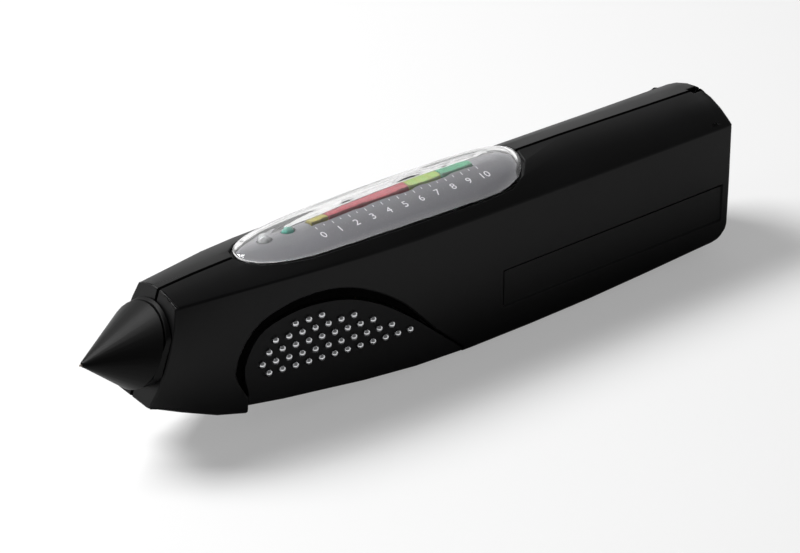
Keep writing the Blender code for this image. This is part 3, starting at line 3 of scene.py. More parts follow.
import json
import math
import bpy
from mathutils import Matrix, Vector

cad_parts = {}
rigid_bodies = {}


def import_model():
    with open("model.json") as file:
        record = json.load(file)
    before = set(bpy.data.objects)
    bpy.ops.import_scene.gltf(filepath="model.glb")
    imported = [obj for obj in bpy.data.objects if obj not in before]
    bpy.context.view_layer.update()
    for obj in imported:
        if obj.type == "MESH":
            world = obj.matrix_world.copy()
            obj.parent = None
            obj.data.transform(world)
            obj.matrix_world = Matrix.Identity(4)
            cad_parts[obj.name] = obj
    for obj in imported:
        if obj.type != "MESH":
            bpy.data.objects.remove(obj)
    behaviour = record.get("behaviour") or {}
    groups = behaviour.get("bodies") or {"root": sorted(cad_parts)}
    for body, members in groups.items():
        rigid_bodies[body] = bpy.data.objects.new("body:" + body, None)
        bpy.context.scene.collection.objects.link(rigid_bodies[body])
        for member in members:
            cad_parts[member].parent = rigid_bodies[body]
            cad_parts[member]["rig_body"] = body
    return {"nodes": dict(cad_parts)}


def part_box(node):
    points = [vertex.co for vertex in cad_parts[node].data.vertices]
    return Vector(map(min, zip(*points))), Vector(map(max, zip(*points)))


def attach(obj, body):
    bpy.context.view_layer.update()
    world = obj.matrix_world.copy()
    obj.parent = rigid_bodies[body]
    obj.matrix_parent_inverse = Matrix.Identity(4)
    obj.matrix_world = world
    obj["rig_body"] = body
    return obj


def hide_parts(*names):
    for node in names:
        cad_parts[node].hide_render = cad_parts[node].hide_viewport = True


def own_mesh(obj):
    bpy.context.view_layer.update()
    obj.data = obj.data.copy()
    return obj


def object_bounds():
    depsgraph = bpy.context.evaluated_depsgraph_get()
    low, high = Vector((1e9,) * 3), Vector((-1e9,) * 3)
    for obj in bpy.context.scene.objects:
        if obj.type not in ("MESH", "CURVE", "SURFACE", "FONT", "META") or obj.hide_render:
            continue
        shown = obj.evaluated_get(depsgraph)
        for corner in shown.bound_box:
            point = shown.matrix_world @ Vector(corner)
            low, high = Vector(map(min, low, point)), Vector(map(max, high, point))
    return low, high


bl_info = {
    "name": "Diamond Tester",
    "version": (1, 0, 0),
    "blender": (4, 5, 0),
    "location": "View3D > Sidebar > Tester",
    "description": "Finishes, printed scale, light and camera for a hand-held diamond tester",
    "category": "Object",
}

import bpy
from bpy.props import FloatProperty, FloatVectorProperty, IntProperty, PointerProperty
from mathutils import Euler, Vector
from mathutils.bvhtree import BVHTree

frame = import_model()
CAD_BOX = [list(corner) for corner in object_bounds()]

MM = 0.001
SIDES = (("near", -1), ("far", 1))  # each side of the case with its sign along Y
PALE_INK = "#c9c9cc"


def linear(code):
    """sRGB hex code as a linear RGBA colour."""
    values = [int(code[start:start + 2], 16) / 255 for start in (1, 3, 5)]
    return (*(v / 12.92 if v <= 0.04045 else ((v + 0.055) / 1.055) ** 2.4 for v in values), 1.0)


def only(item):
    """Leaves one object selected and active."""
    bpy.ops.object.select_all(action="DESELECT")
    item.select_set(True)
    bpy.context.view_layer.objects.active = item


def body_of(source):
    """Body that a CAD node moves with."""
    return frame["nodes"][source]["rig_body"]


# Materials


def node(tree, kind, settings=None, links=None, **inputs):
    """Adds a node with its settings, its input values and links from other nodes' outputs."""
    made = tree.nodes.new(kind)
    for key, value in (settings or {}).items():
        setattr(made, key, value)
    for key, value in inputs.items():
        made.inputs[key.replace("_", " ")].default_value = value
    for key, output in (links or {}).items():
        tree.links.new(output, made.inputs[key])
    return made


def finish(name, colour, roughness, **values):
    """New material and its Principled shader, with uniform values set on the sockets."""
    made = bpy.data.materials.new(name)
    made.use_nodes = True
    shader = made.node_tree.nodes["Principled BSDF"]
    shader.inputs["Base Color"].default_value = linear(colour)
    shader.inputs["Roughness"].default_value = roughness
    for key, value in values.items():
        shader.inputs[key.replace("_", " ")].default_value = value
    return made, made.node_tree, shader


def grain(tree, shader, size, depth, strength, detail=2.0, finer=0.6):
    """Random bump of a real grain size, in Object coordinates."""
    place = node(tree, "ShaderNodeTexCoord")
    noise = node(
        tree, "ShaderNodeTexNoise", links={"Vector": place.outputs["Object"]},
        Scale=1 / size, Detail=detail, Roughness=finer,
    )
    bump = node(
        tree, "ShaderNodeBump", links={"Height": noise.outputs["Fac"]},
        Strength=strength, Distance=depth,
    )
    tree.links.new(bump.outputs["Normal"], shader.inputs["Normal"])
    return noise.outputs["Fac"]


def wide_noise(tree, size):
    """Soft cloudy pattern of a real size, in Object coordinates."""
    place = node(tree, "ShaderNodeTexCoord")
    return node(
        tree, "ShaderNodeTexNoise", links={"Vector": place.outputs["Object"]},
        Scale=1 / size, Detail=3.0,
    ).outputs["Fac"]


def vary(tree, shader, pattern, low, high):
    """Lets a pattern move the roughness between two values."""
    spread = node(tree, "ShaderNodeMapRange", links={"Value": pattern}, To_Min=low, To_Max=high)
    tree.links.new(spread.outputs["Result"], shader.inputs["Roughness"])


def tint(tree, shader, pattern, first, second, low=0.3, high=0.7):
    """Lets a pattern move the colour between two hex colours."""
    ramp = node(tree, "ShaderNodeValToRGB", links={"Fac": pattern})
    for stop, place, code in zip(ramp.color_ramp.elements, (low, high), (first, second)):
        stop.position = place
        stop.color = linear(code)
    tree.links.new(ramp.outputs["Color"], shader.inputs["Base Color"])


def moulded_abs():
    """Black ABS from a spark-eroded mould: satin, its grain drawn coarser than real to show."""
    made, tree, shader = finish(
        "moulded_abs_black", "#080808", roughness=0.40, IOR=1.54, Specular_IOR_Level=0.13,
    )
    grain(tree, shader, size=0.40 * MM, depth=0.02 * MM, strength=0.30)
    clouds = wide_noise(tree, 22 * MM)
    vary(tree, shader, clouds, low=0.36, high=0.46)
    tint(tree, shader, clouds, "#070707", "#0a0a0b")
    return made


def smooth_abs():
    """Black ABS from a smoother mould: the nose carries one soft broad highlight."""
    made, tree, shader = finish(
        "smooth_abs_black", "#040404", roughness=0.44, IOR=1.54, Specular_IOR_Level=0.09,
    )
    grain(tree, shader, size=0.25 * MM, depth=0.006 * MM, strength=0.25)
    vary(tree, shader, wide_noise(tree, 9 * MM), low=0.40, high=0.48)
    return made


def groove_black():
    """Painted shade on the groove floor round each grip pad and on the seam: coarse dead-matt black
    that throws no light back.
    """
    made, tree, shader = finish(
        "gap_painted_shade", "#030303", roughness=0.9, Specular_IOR_Level=0.02,
    )
    grain(tree, shader, size=0.5 * MM, depth=0.05 * MM, strength=0.5)
    tint(tree, shader, wide_noise(tree, 5 * MM), "#020202", "#050505")
    return made


def soft_grip():
    """Thermoplastic elastomer: a matt, slightly dusty black with a fine leather-like grain."""
    made, tree, shader = finish(
        "elastomer_grip", "#0f0f10", roughness=0.62, IOR=1.5, Specular_IOR_Level=0.17,
    )
    grain(tree, shader, size=0.30 * MM, depth=0.03 * MM, strength=0.4)
    clouds = wide_noise(tree, 14 * MM)
    tint(tree, shader, clouds, "#0d0d0e", "#121213")
    vary(tree, shader, clouds, low=0.56, high=0.70)
    return made


def clear_acrylic():
    """Injection moulded acrylic: clear and glossy, with the faint waviness of a moulding."""
    made, tree, shader = finish(
        "clear_acrylic", "#ffffff", roughness=0.02, IOR=1.49, Transmission_Weight=1.0,
    )
    grain(tree, shader, size=6 * MM, depth=0.05 * MM, strength=0.12, detail=1.0, finer=0.5)
    # The lamps' light passes on to what lies beneath, less what a wall of acrylic keeps back.
    passed = 0.88
    path = node(tree, "ShaderNodeLightPath")
    through = node(tree, "ShaderNodeBsdfTransparent", Color=(passed, passed, passed, 1.0))
    mix = node(
        tree, "ShaderNodeMixShader",
        links={0: path.outputs["Is Shadow Ray"], 1: shader.outputs[0], 2: through.outputs[0]},
    )
    tree.links.new(mix.outputs[0], tree.nodes["Material Output"].inputs["Surface"])
    return made


def printed_film():
    """Screen-printed polyester film: flat dark grey with the print's fine dots."""
    made, tree, shader = finish("printed_film_grey", "#5b5b5e", roughness=0.5, IOR=1.57)
    dots = grain(tree, shader, size=0.2 * MM, depth=0.005 * MM, strength=0.2)
    tint(tree, shader, dots, "#555558", "#626265")
    return made


def printed_ink(colour):
    """Opaque screen ink, matt and faintly rough, in the linear colour that the settings hold."""
    made, tree, shader = finish("scale_ink", PALE_INK, roughness=0.55)
    shader.inputs["Base Color"].default_value = colour
    grain(tree, shader, size=0.15 * MM, depth=0.004 * MM, strength=0.2)
    return made


def tinted_diffuser(name, first, second):
    """Tinted translucent acrylic light bar, matt on its top face, with a faint painted glow in its
    own colour as if lit from below.
    """
    made, tree, shader = finish(
        name, first, roughness=0.38, IOR=1.49,
        # Painted glow: a faint emission in the bar's own colour that stands in for light from
        # below.
        Emission_Color=linear(first), Emission_Strength=0.04,
    )
    place = node(tree, "ShaderNodeTexCoord")
    bands = node(
        tree, "ShaderNodeTexWave", {"bands_direction": "X"}, {"Vector": place.outputs["Object"]},
        Scale=1 / (9 * MM), Distortion=0.6,
    )
    tint(tree, shader, bands.outputs["Fac"], first, second, low=0.1, high=0.9)
    return made


def lamp_plastic(name, colour, transmission):
    """Tinted clear cap of a small lamp, smooth from the mould: it keeps a small highlight."""
    made, tree, shader = finish(
        name, colour, roughness=0.12, IOR=1.5, Transmission_Weight=transmission,
    )
    vary(tree, shader, wide_noise(tree, 1.2 * MM), low=0.08, high=0.18)
    return made


def plated_metal(name, colour, roughness, size):
    """Plated metal with faint polishing marks of a real size: bright, a little uneven in gloss."""
    made, tree, shader = finish(name, colour, roughness, Metallic=1.0)
    marks = grain(tree, shader, size, depth=0.003 * MM, strength=0.15)
    vary(tree, shader, marks, low=roughness * 0.8, high=roughness * 1.25)
    return made


def circuit_board():
    """Glass-epoxy board under green solder mask, with tracks that show through it."""
    made, tree, shader = finish("solder_mask_green", "#1d5a33", roughness=0.3, IOR=1.5)
    place = node(tree, "ShaderNodeTexCoord")
    tracks = node(
        tree, "ShaderNodeTexBrick", links={"Vector": place.outputs["Object"]},
        Color1=linear("#174b2a"), Color2=linear("#1b5430"), Mortar=linear("#2f7a47"),
        Scale=1 / (7 * MM), Mortar_Size=0.03,
    )
    tree.links.new(tracks.outputs["Color"], shader.inputs["Base Color"])
    return made


def plain_plastic(name, first, second, roughness):
    """Moulded plastic of an inner part, slightly uneven in tone."""
    made, tree, shader = finish(name, first, roughness, IOR=1.5)
    speckle = grain(tree, shader, size=0.3 * MM, depth=0.01 * MM, strength=0.25)
    tint(tree, shader, speckle, first, second)
    return made


def cell_sleeve():
    """Shrink sleeve of a battery cell: satin grey, with a brass-coloured band at its rear end."""
    made, tree, shader = finish("cell_sleeve_bare", "#3c4046", roughness=0.3, Metallic=0.6)
    band_start, band_edge = 70.0 * MM, 0.2 * MM
    place = node(tree, "ShaderNodeTexCoord")
    split = node(tree, "ShaderNodeSeparateXYZ", links={"Vector": place.outputs["Object"]})
    band = node(
        tree, "ShaderNodeMapRange", links={"Value": split.outputs["X"]},
        From_Min=band_start, From_Max=band_start + band_edge,
    )
    tint(tree, shader, band.outputs["Result"], "#33373d", "#b08a4a", low=0.45, high=0.55)
    return made


# Pieces made from the CAD nodes

MERGE = 0.000002  # points of a CAD mesh nearer than this are one
FLAT = math.radians(0.4)  # faces that turn less than this are one
LARGE_FACES_FIRST = 80  # weight of the larger faces in the normals, where 50 is even


def dressed(source, material, edge=0.0, angle=32.0, flatten=True, clamp=True):
    """Merged and smoothed copy of a CAD node that stands for the node.

    Where faces meet at more than the angle in degrees, their edge stays and is softened by the
    edge's width. Unclamped, that width holds beside the smallest faces too.
    """
    piece = bpy.data.objects.new(f"{source}_finished", frame["nodes"][source].data.copy())
    bpy.context.scene.collection.objects.link(piece)
    only(piece)
    bpy.ops.mesh.customdata_custom_splitnormals_clear()
    bpy.ops.object.mode_set(mode="EDIT")
    bpy.ops.mesh.select_all(action="SELECT")
    bpy.ops.mesh.remove_doubles(threshold=MERGE)
    if flatten:
        bpy.ops.mesh.dissolve_limited(angle_limit=FLAT)
    bpy.ops.object.mode_set(mode="OBJECT")
    bpy.ops.object.shade_smooth_by_angle(angle=math.radians(angle))
    if edge:
        bevel = piece.modifiers.new("edge", "BEVEL")
        bevel.limit_method = "ANGLE"
        bevel.angle_limit = math.radians(angle)
        bevel.width = edge
        bevel.segments = 2
        bevel.harden_normals = True
        bevel.use_clamp_overlap = clamp
        bpy.ops.object.modifier_apply(modifier="edge")
    even = piece.modifiers.new("even_normals", "WEIGHTED_NORMAL")
    even.keep_sharp = True
    even.weight = LARGE_FACES_FIRST
    bpy.ops.object.modifier_apply(modifier="even_normals")
    piece.data.materials.clear()
    piece.data.materials.append(material)
    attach(piece, body_of(source))
    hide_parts(source)
    return piece


def coat(source, material):
    """Gives a CAD node that stays a better material."""
    slots = frame["nodes"][source].data.materials
    slots.clear()
    slots.append(material)


class CasingSettings(bpy.types.PropertyGroup):
    """Sizes of the casing's softened edges and of the shade painted in its grooves and seam"""

    edge: FloatProperty(
        name="Edge width", description="Softening of the casing's edges", default=0.35 * MM,
        min=0.0, unit="LENGTH",
    )
    # The groove's matt finish is painted shade: it stands in for the shadow in the groove round a
    # grip pad.
    groove: FloatProperty(
        name="Groove reach", description="How far from a grip pad the groove's matt finish goes",
        default=3.6 * MM, min=0.0, unit="LENGTH",
    )
    # The seam's dark line is painted shade, standing in for the shadow in the gap between the case
    # halves.
    seam: FloatProperty(
        name="Seam width", description="Width of the dark line between the case halves",
        default=1.1 * MM, min=0.0, unit="LENGTH",
    )


class TESTER_OT_casing(bpy.types.Operator):
    """Finishes the two casing halves and the battery cover, painting shade into the grip grooves
    and the seam
    """

    bl_idname = "tester.casing"
    bl_label = "Casing"

    MATING = 0.16 * MM  # the mating faces lie within this of the seam's plane
    LEFT_OPEN = 0.05  # share of their distance from that plane that stays
    FACING = 0.5  # least turn of a face's normal towards its side
    RIM_STEP = 3 * MM  # seen from this far outside a face, the pad's nearest point is its rim
    GROOVE_DEPTH = 0.2 * MM  # least depth of the groove's floor under that rim
    TAIL = 0.0  # station behind which the tail's thin groove keeps the casing's finish

    def execute(self, context):
        settings = context.scene.tester_casing
        # matt is painted shade: a dead-black material for the grip grooves and the seam.
        plastic, matt = moulded_abs(), groove_black()
        dressed("battery_cover", plastic, settings.edge)
        for side, hand in SIDES:
            shell = dressed(
                f"{side}_shell", plastic, settings.edge, clamp=False,
            )
            shell.data.materials.append(matt)
            self.close_seam(shell)
            self.darken_groove(shell, side, hand, settings.groove)
            self.darken_seam(shell, settings.seam)
        return {"FINISHED"}

    def close_seam(self, shell):
        """Brings the mating faces up to the seam's plane, as the halves' lap would close it."""
        for point in shell.data.vertices:
            if abs(point.co.y) < self.MATING:
                point.co.y *= self.LEFT_OPEN

    def darken_groove(self, shell, side, hand, reach):
        """Paints shade on the faces beside a grip pad and below its rim, by giving them the matt
        black material.
        """
        mesh = frame["nodes"][f"grip_pad_{side}"].data
        pad = BVHTree.FromPolygons(
            [point.co for point in mesh.vertices], [face.vertices for face in mesh.polygons],
        )
        outwards = Vector((0.0, hand * self.RIM_STEP, 0.0))
        for face in shell.data.polygons:
            if face.normal.y * hand < self.FACING or face.center.x >= self.TAIL:
                continue
            gap = pad.find_nearest(face.center)[3]
            rim = pad.find_nearest(face.center + outwards)[0]
            if gap < reach and (rim.y - face.center.y) * hand > self.GROOVE_DEPTH:
                face.material_index = 1

    def darken_seam(self, shell, width):
        """Paints shade on the faces within the seam's width, by giving them the matt black
        material.
        """
        for face in shell.data.polygons:
            if abs(face.center.y) < width / 2:
                face.material_index = 1


class TESTER_OT_nose(bpy.types.Operator):
    """Finishes the nose cone and its collar"""

    bl_idname = "tester.nose"
    bl_label = "Nose"

    def execute(self, context):
        plastic = smooth_abs()
        dressed("nose_cone", plastic, edge=0.2 * MM, angle=40.0)
        dressed("nose_collar", plastic, edge=0.1 * MM, angle=40.0)
        return {"FINISHED"}


class ProbeSettings(bpy.types.PropertyGroup):
    """Movement of the probe"""

    travel: FloatProperty(
        name="Travel", description="How far the probe's spring shortens at the end of its slide",
        default=0.8 * MM, min=0.0, unit="LENGTH",
    )


class TESTER_OT_probe(bpy.types.Operator):
    """Finishes the probe pin, its sleeve, carrier, spring and heater"""

    bl_idname = "tester.probe"
    bl_label = "Probe"

    def execute(self, context):
        copper = plated_metal("copper_block", "#d9a583", roughness=0.24, size=0.08 * MM)
        plated = plated_metal("nickel_plated_tip", "#a39a92", roughness=0.30, size=0.08 * MM)
        steel = plated_metal("spring_steel_bright", "#b9bbbe", roughness=0.22, size=0.1 * MM)
        brass = plated_metal("turned_brass", "#c9a35a", roughness=0.25, size=0.1 * MM)
        ceramic = plain_plastic("glazed_white_sleeve", "#dcdad4", "#e6e4df", roughness=0.35)
        nylon = plain_plastic("nylon_grey", "#3a3a3c", "#424245", roughness=0.5)
        dressed("probe_pin", plated, angle=40.0)
        dressed("probe_sleeve", ceramic, angle=40.0)
        dressed("probe_carrier", nylon, angle=40.0)
        spring = dressed("probe_spring", steel, angle=60.0)
        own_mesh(spring)
        dressed("spring_cap", brass, angle=40.0)
        coat("heater_block", copper)
        return {"FINISHED"}


class GripSettings(bpy.types.PropertyGroup):
    """Sizes of the studs in the grip pads"""

    stud_radius: FloatProperty(
        name="Stud radius", description="Radius of each round-headed stud", default=0.95 * MM,
        min=0.0, unit="LENGTH",
    )
    stud_rise: FloatProperty(
        name="Stud rise", description="How far a stud's head stands above its CAD point",
        default=0.58 * MM, unit="LENGTH",
    )


class TESTER_OT_grips(bpy.types.Operator):
    """Finishes the two grip pads and the studs of the contact plates"""

    bl_idname = "tester.grips"
    bl_label = "Grips"

    # Shares of the stud's radius: where the head ends, how wide the shank is and how deep it goes.
    HEAD_END = -0.25
    SHANK_RADIUS = 0.98
    SHANK_END = -1.5
    TIP_RISE = 0.01 * MM  # least height of a stud's middle over the points round it
    TIP_SPAN = 1 * MM  # those points lie within this

    def execute(self, context):
        rubber = soft_grip()
        chrome = plated_metal("bright_chrome", "#dfe0e2", roughness=0.12, size=0.2 * MM)
        for side, hand in SIDES:
            dressed(f"grip_pad_{side}", rubber, edge=0.25 * MM, angle=40.0)
            plate = dressed(f"contact_plate_{side}", chrome, angle=50.0)
            self.add_studs(context, plate, hand, chrome)
        return {"FINISHED"}

    def add_studs(self, context, plate, hand, chrome):
        """Joins one round-headed pin to the plate at each stud of the CAD plate."""
        settings = context.scene.tester_grips
        radius = settings.stud_radius
        bpy.ops.object.select_all(action="DESELECT")
        bpy.ops.mesh.primitive_uv_sphere_add(segments=16, ring_count=8, radius=radius)
        pin = context.object
        for point in pin.data.vertices:
            if point.co.z < radius * self.HEAD_END:
                outwards = Vector((point.co.x, point.co.y, 0.0)).normalized()
                point.co = outwards * radius * self.SHANK_RADIUS
                point.co.z = radius * self.SHANK_END
        pin.rotation_euler = (-hand * math.pi / 2, 0.0, 0.0)
        bpy.ops.object.transform_apply(location=False, rotation=True, scale=True)
        bpy.ops.object.shade_smooth()
        pin.data.materials.append(chrome)
        pins = []
        for tip in self.tips(plate.data):
            copy = bpy.data.objects.new("pin", pin.data.copy())
            context.scene.collection.objects.link(copy)
            copy.location = tip + Vector((0.0, hand * (settings.stud_rise - radius), 0.0))
            pins.append(copy)
        bpy.data.objects.remove(pin)
        only(plate)
        for copy in pins:
            copy.select_set(True)
        bpy.ops.object.join()

    def tips(self, mesh):
        """Points that stand out beyond all their neighbours: the middles of the CAD studs."""
        around = {point.index: [] for point in mesh.vertices}
        for edge in mesh.edges:
            first, last = edge.vertices
            around[first].append(last)
            around[last].append(first)
        found = []
        for point in mesh.vertices:
            near = [mesh.vertices[index].co for index in around[point.index]]
            alone = all(abs(other.y) < abs(point.co.y) - self.TIP_RISE for other in near)
            if alone and max((other - point.co).length for other in near) < self.TIP_SPAN:
                found.append(point.co.copy())
        return sorted(found, key=tuple)


class WindowSettings(bpy.types.PropertyGroup):
    """How finely and how far the window's dome is smoothed"""

    grid: FloatProperty(
        name="Grid", description="Size of the dome's faces", default=0.3 * MM, min=0.1 * MM,
        unit="LENGTH",
    )
    crown_turns: IntProperty(
        name="Crown smoothing", description="Turns of smoothing over the top of the dome",
        default=90, min=0,
    )
    whole_turns: IntProperty(
        name="Overall smoothing", description="Turns of smoothing over the whole window",
        default=6, min=0,
    )


class TESTER_OT_window(bpy.types.Operator):
    """Finishes the clear window and the grey plate under it"""

    bl_idname = "tester.window"
    bl_label = "Window"

    RIM = Vector((3.5, 1.8, 0.0)) * MM  # width round the dome that the crown leaves alone
    FADE = 2.5  # steepness of the crown's fading towards it

    def execute(self, context):
        settings = context.scene.tester_window
        # The dome keeps all its faces, because they are rounded here and not only smoothed.
        lens = dressed("lens", clear_acrylic(), angle=60.0, flatten=False)
        only(lens)
        bpy.ops.object.mode_set(mode="EDIT")
        bpy.ops.mesh.select_all(action="SELECT")
        bpy.ops.mesh.tris_convert_to_quads(
            face_threshold=math.radians(60), shape_threshold=math.radians(60),
        )
        bpy.ops.object.mode_set(mode="OBJECT")
        rounded = lens.modifiers.new("rounded", "SUBSURF")
        rounded.levels = rounded.render_levels = 2
        bpy.ops.object.modifier_apply(modifier="rounded")
        regular = lens.modifiers.new("even_faces", "REMESH")
        regular.mode = "VOXEL"
        regular.voxel_size = settings.grid
        regular.use_smooth_shade = True
        bpy.ops.object.modifier_apply(modifier="even_faces")
        self.weigh_crown(lens)
        for group, turns in (("crown", settings.crown_turns), ("", settings.whole_turns)):
            flowing = lens.modifiers.new("flowing", "SMOOTH")
            flowing.factor = 0.5
            flowing.iterations = turns
            flowing.vertex_group = group
            bpy.ops.object.modifier_apply(modifier="flowing")
        bpy.ops.object.shade_smooth()
        dressed("legend_plate", printed_film(), angle=30.0)
        return {"FINISHED"}

    def weigh_crown(self, lens):
        """Vertex group that is full along the lens's middle and fades out well before its rim."""
        low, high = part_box("lens")
        middle, half = (low + high) / 2, (high - low) / 2 - self.RIM
        crown = lens.vertex_groups.new(name="crown")
        for point in lens.data.vertices:
            along = (point.co.x - middle.x) / half.x
            across = (point.co.y - middle.y) / half.y
            weight = min((1 - along ** 2 - across ** 2) * self.FADE, 1.0)
            if weight > 0.0:
                crown.add([point.index], weight, "REPLACE")


class TESTER_OT_lights(bpy.types.Operator):
    """Finishes the coloured light bars and the two lamps"""

    bl_idname = "tester.lights"
    bl_label = "Lights"

    def execute(self, context):
        bars = (
            ("yellow", "#7a7122", "#847c2c"),
            ("red", "#7c1826", "#88222f"),
            ("lime", "#708026", "#688a2c"),
            ("green", "#126c48", "#1a7650"),
        )
        for colour, first, second in bars:
            diffuser = tinted_diffuser(f"acrylic_{colour}", first, second)
            dressed(f"light_bar_{colour}", diffuser, edge=0.15 * MM)
        clear = lamp_plastic("clear_cap", "#d8dadc", transmission=0.7)
        teal = lamp_plastic("teal_cap", "#1f8f7c", transmission=0.35)
        dressed("battery_lamp", clear, angle=60.0)
        dressed("ready_lamp", teal, angle=60.0)
        return {"FINISHED"}


class PrintSettings(bpy.types.PropertyGroup):
    """Sizes and colour of the printed scale"""

    numeral: FloatProperty(
        name="Numeral height", description="Height of the scale's numerals", default=2.1 * MM,
        min=0.5 * MM, unit="LENGTH",
    )
    tick: FloatProperty(
        name="Tick length", description="Length of the scale's marks", default=0.9 * MM,
        min=0.1 * MM, unit="LENGTH",
    )
    count: IntProperty(
        name="Scale steps", description="Number of steps on the printed scale", default=10,
        min=2, max=20,
    )
    ink: FloatVectorProperty(
        name="Ink colour", description="Colour of the printed scale", subtype="COLOR", size=4,
        default=linear(PALE_INK), min=0.0, max=1.0,
    )


class TESTER_OT_print(bpy.types.Operator):
    """Prints a plain numbered scale on the grey plate"""

    bl_idname = "tester.print"
    bl_label = "Printed scale"

    NUMERALS_OUT = 4.6 * MM  # from the bars' near edge to the middle of the numerals
    TICKS_OUT = 1.2 * MM  # from the bars' near edge to the ticks
    TICK_WIDTH = 0.18 * MM
    HALF_STEP_TICK = 0.6  # length of a tick between two numerals, as a share of the others'
    SIZE_PER_HEIGHT = 1.4  # font size that gives numerals one unit high
    LIFT = 0.08 * MM  # of the ink over the plate

    def execute(self, context):
        settings = context.scene.tester_print
        ink = printed_ink(settings.ink)
        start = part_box("light_bar_yellow")[0].x
        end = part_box("light_bar_green")[1].x
        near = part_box("light_bar_red")[0].y
        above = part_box("lens")[1].z
        for step in range(settings.count + 1):
            station = start + (end - start) * step / settings.count
            bpy.ops.object.select_all(action="DESELECT")
            bpy.ops.object.text_add(location=(station, near - self.NUMERALS_OUT, above))
            text = context.object
            text.data.body = str(step)
            text.data.size = settings.numeral * self.SIZE_PER_HEIGHT
            text.data.align_x = "CENTER"
            text.data.align_y = "CENTER"
            text.data.resolution_u = 3
            bpy.ops.object.convert(target="MESH")
            self.lay(context.object, f"scale_numeral_{step}", ink)
        for step in range(settings.count * 2 + 1):
            station = start + (end - start) * step / settings.count / 2
            length = settings.tick * (1.0 if step % 2 == 0 else self.HALF_STEP_TICK)
            bpy.ops.object.select_all(action="DESELECT")
            bpy.ops.mesh.primitive_plane_add(
                size=1.0, location=(station, near - self.TICKS_OUT - length / 2, above),
            )
            tick = context.object
            tick.scale = (self.TICK_WIDTH, length, 1.0)
            self.lay(tick, f"scale_tick_{step}", ink)
        return {"FINISHED"}

    def lay(self, item, name, ink):
        """Lays a flat mesh on the grey plate, a hair above it, and fixes it to the casing."""
        only(item)
        item.name = name
        item.data.name = name
        bpy.ops.object.transform_apply(location=True, rotation=True, scale=True)
        wrap = item.modifiers.new("laid", "SHRINKWRAP")
        wrap.target = bpy.data.objects["legend_plate_finished"]
        wrap.wrap_method = "PROJECT"
        wrap.use_project_z = True
        wrap.use_negative_direction = True
        wrap.use_positive_direction = False
        wrap.offset = self.LIFT
        bpy.ops.object.modifier_apply(modifier="laid")
        item.data.materials.clear()
        item.data.materials.append(ink)
        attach(item, body_of("legend_plate"))


class TESTER_OT_fittings(bpy.types.Operator):
    """Finishes the screws, the power button and the socket"""

    bl_idname = "tester.fittings"
    bl_label = "Fittings"

    def execute(self, context):
        zinc = plated_metal("zinc_plated_screw", "#a9abb0", roughness=0.3, size=0.12 * MM)
        for number in (1, 2, 3, 4):
            dressed(f"case_screw_{number}", zinc, angle=40.0)
        dressed("power_button", soft_grip(), edge=0.15 * MM, angle=40.0)
        tin = plated_metal("stamped_tin_plate", "#c4c6c8", roughness=0.25, size=0.15 * MM)
        dressed("usb_socket", tin, edge=0.08 * MM)
        return {"FINISHED"}


class TESTER_OT_inside(bpy.types.Operator):
    """Finishes the boards, the battery bay and the wiring"""

    bl_idname = "tester.inside"
    bl_label = "Inside"

    def execute(self, context):
        board = circuit_board()
        black = plain_plastic("inner_black_plastic", "#151516", "#1c1c1e", roughness=0.45)
        white = plain_plastic("white_led_plastic", "#d9d9d6", "#e4e4e1", roughness=0.45)
        tab = plated_metal("nickel_tab", "#c9c8c4", roughness=0.25, size=0.15 * MM)
        steel = plated_metal("nickel_spring", "#bcbdbf", roughness=0.2, size=0.1 * MM)
        bronze = plated_metal("phosphor_bronze", "#c39a5c", roughness=0.3, size=0.12 * MM)
        sleeve = cell_sleeve()
        for source in ("main_board", "display_board"):
            coat(source, board)
        for source in ("battery_tray", "controller_chip", "display_header", "power_switch"):
            coat(source, black)
        coat("led_strip", white)
        dressed("buzzer", black, edge=0.1 * MM, angle=40.0)
        for number in (1, 2, 3):
            dressed(f"battery_cell_{number}", sleeve, edge=0.15 * MM, angle=40.0)
            dressed(f"battery_spring_{number}", steel, angle=60.0)
            coat(f"battery_tab_{number}", tab)
        for side, _ in SIDES:
            coat(f"contact_leaf_{side}", bronze)
        leads = (
            ("probe_lead_1", "lead_red", "#a3242a"), ("probe_lead_2", "lead_white", "#d6d5d0"),
            ("battery_lead_1", "lead_black", "#1a1a1b"), ("battery_lead_2", "lead_red", "#a3242a"),
        )
        for source, slot, colour in leads:
            vinyl = plain_plastic(f"pvc_{source}", colour, colour, roughness=0.4)
            dressed(source, vinyl, angle=60.0)
        return {"FINISHED"}


class StageSettings(bpy.types.PropertyGroup):
    """Where the camera stands"""

    azimuth: FloatProperty(
        name="Azimuth", description="Camera's angle round the object", default=math.radians(-37),
        subtype="ANGLE",
    )
    elevation: FloatProperty(
        name="Elevation", description="Camera's angle above the floor", default=math.radians(31),
        subtype="ANGLE",
    )
    distance: FloatProperty(
        name="Distance", description="From the camera to the point it looks at", default=0.935,
        unit="LENGTH",
    )
    lens: FloatProperty(
        name="Lens", description="Focal length in millimetres", default=180.0, unit="CAMERA",
    )


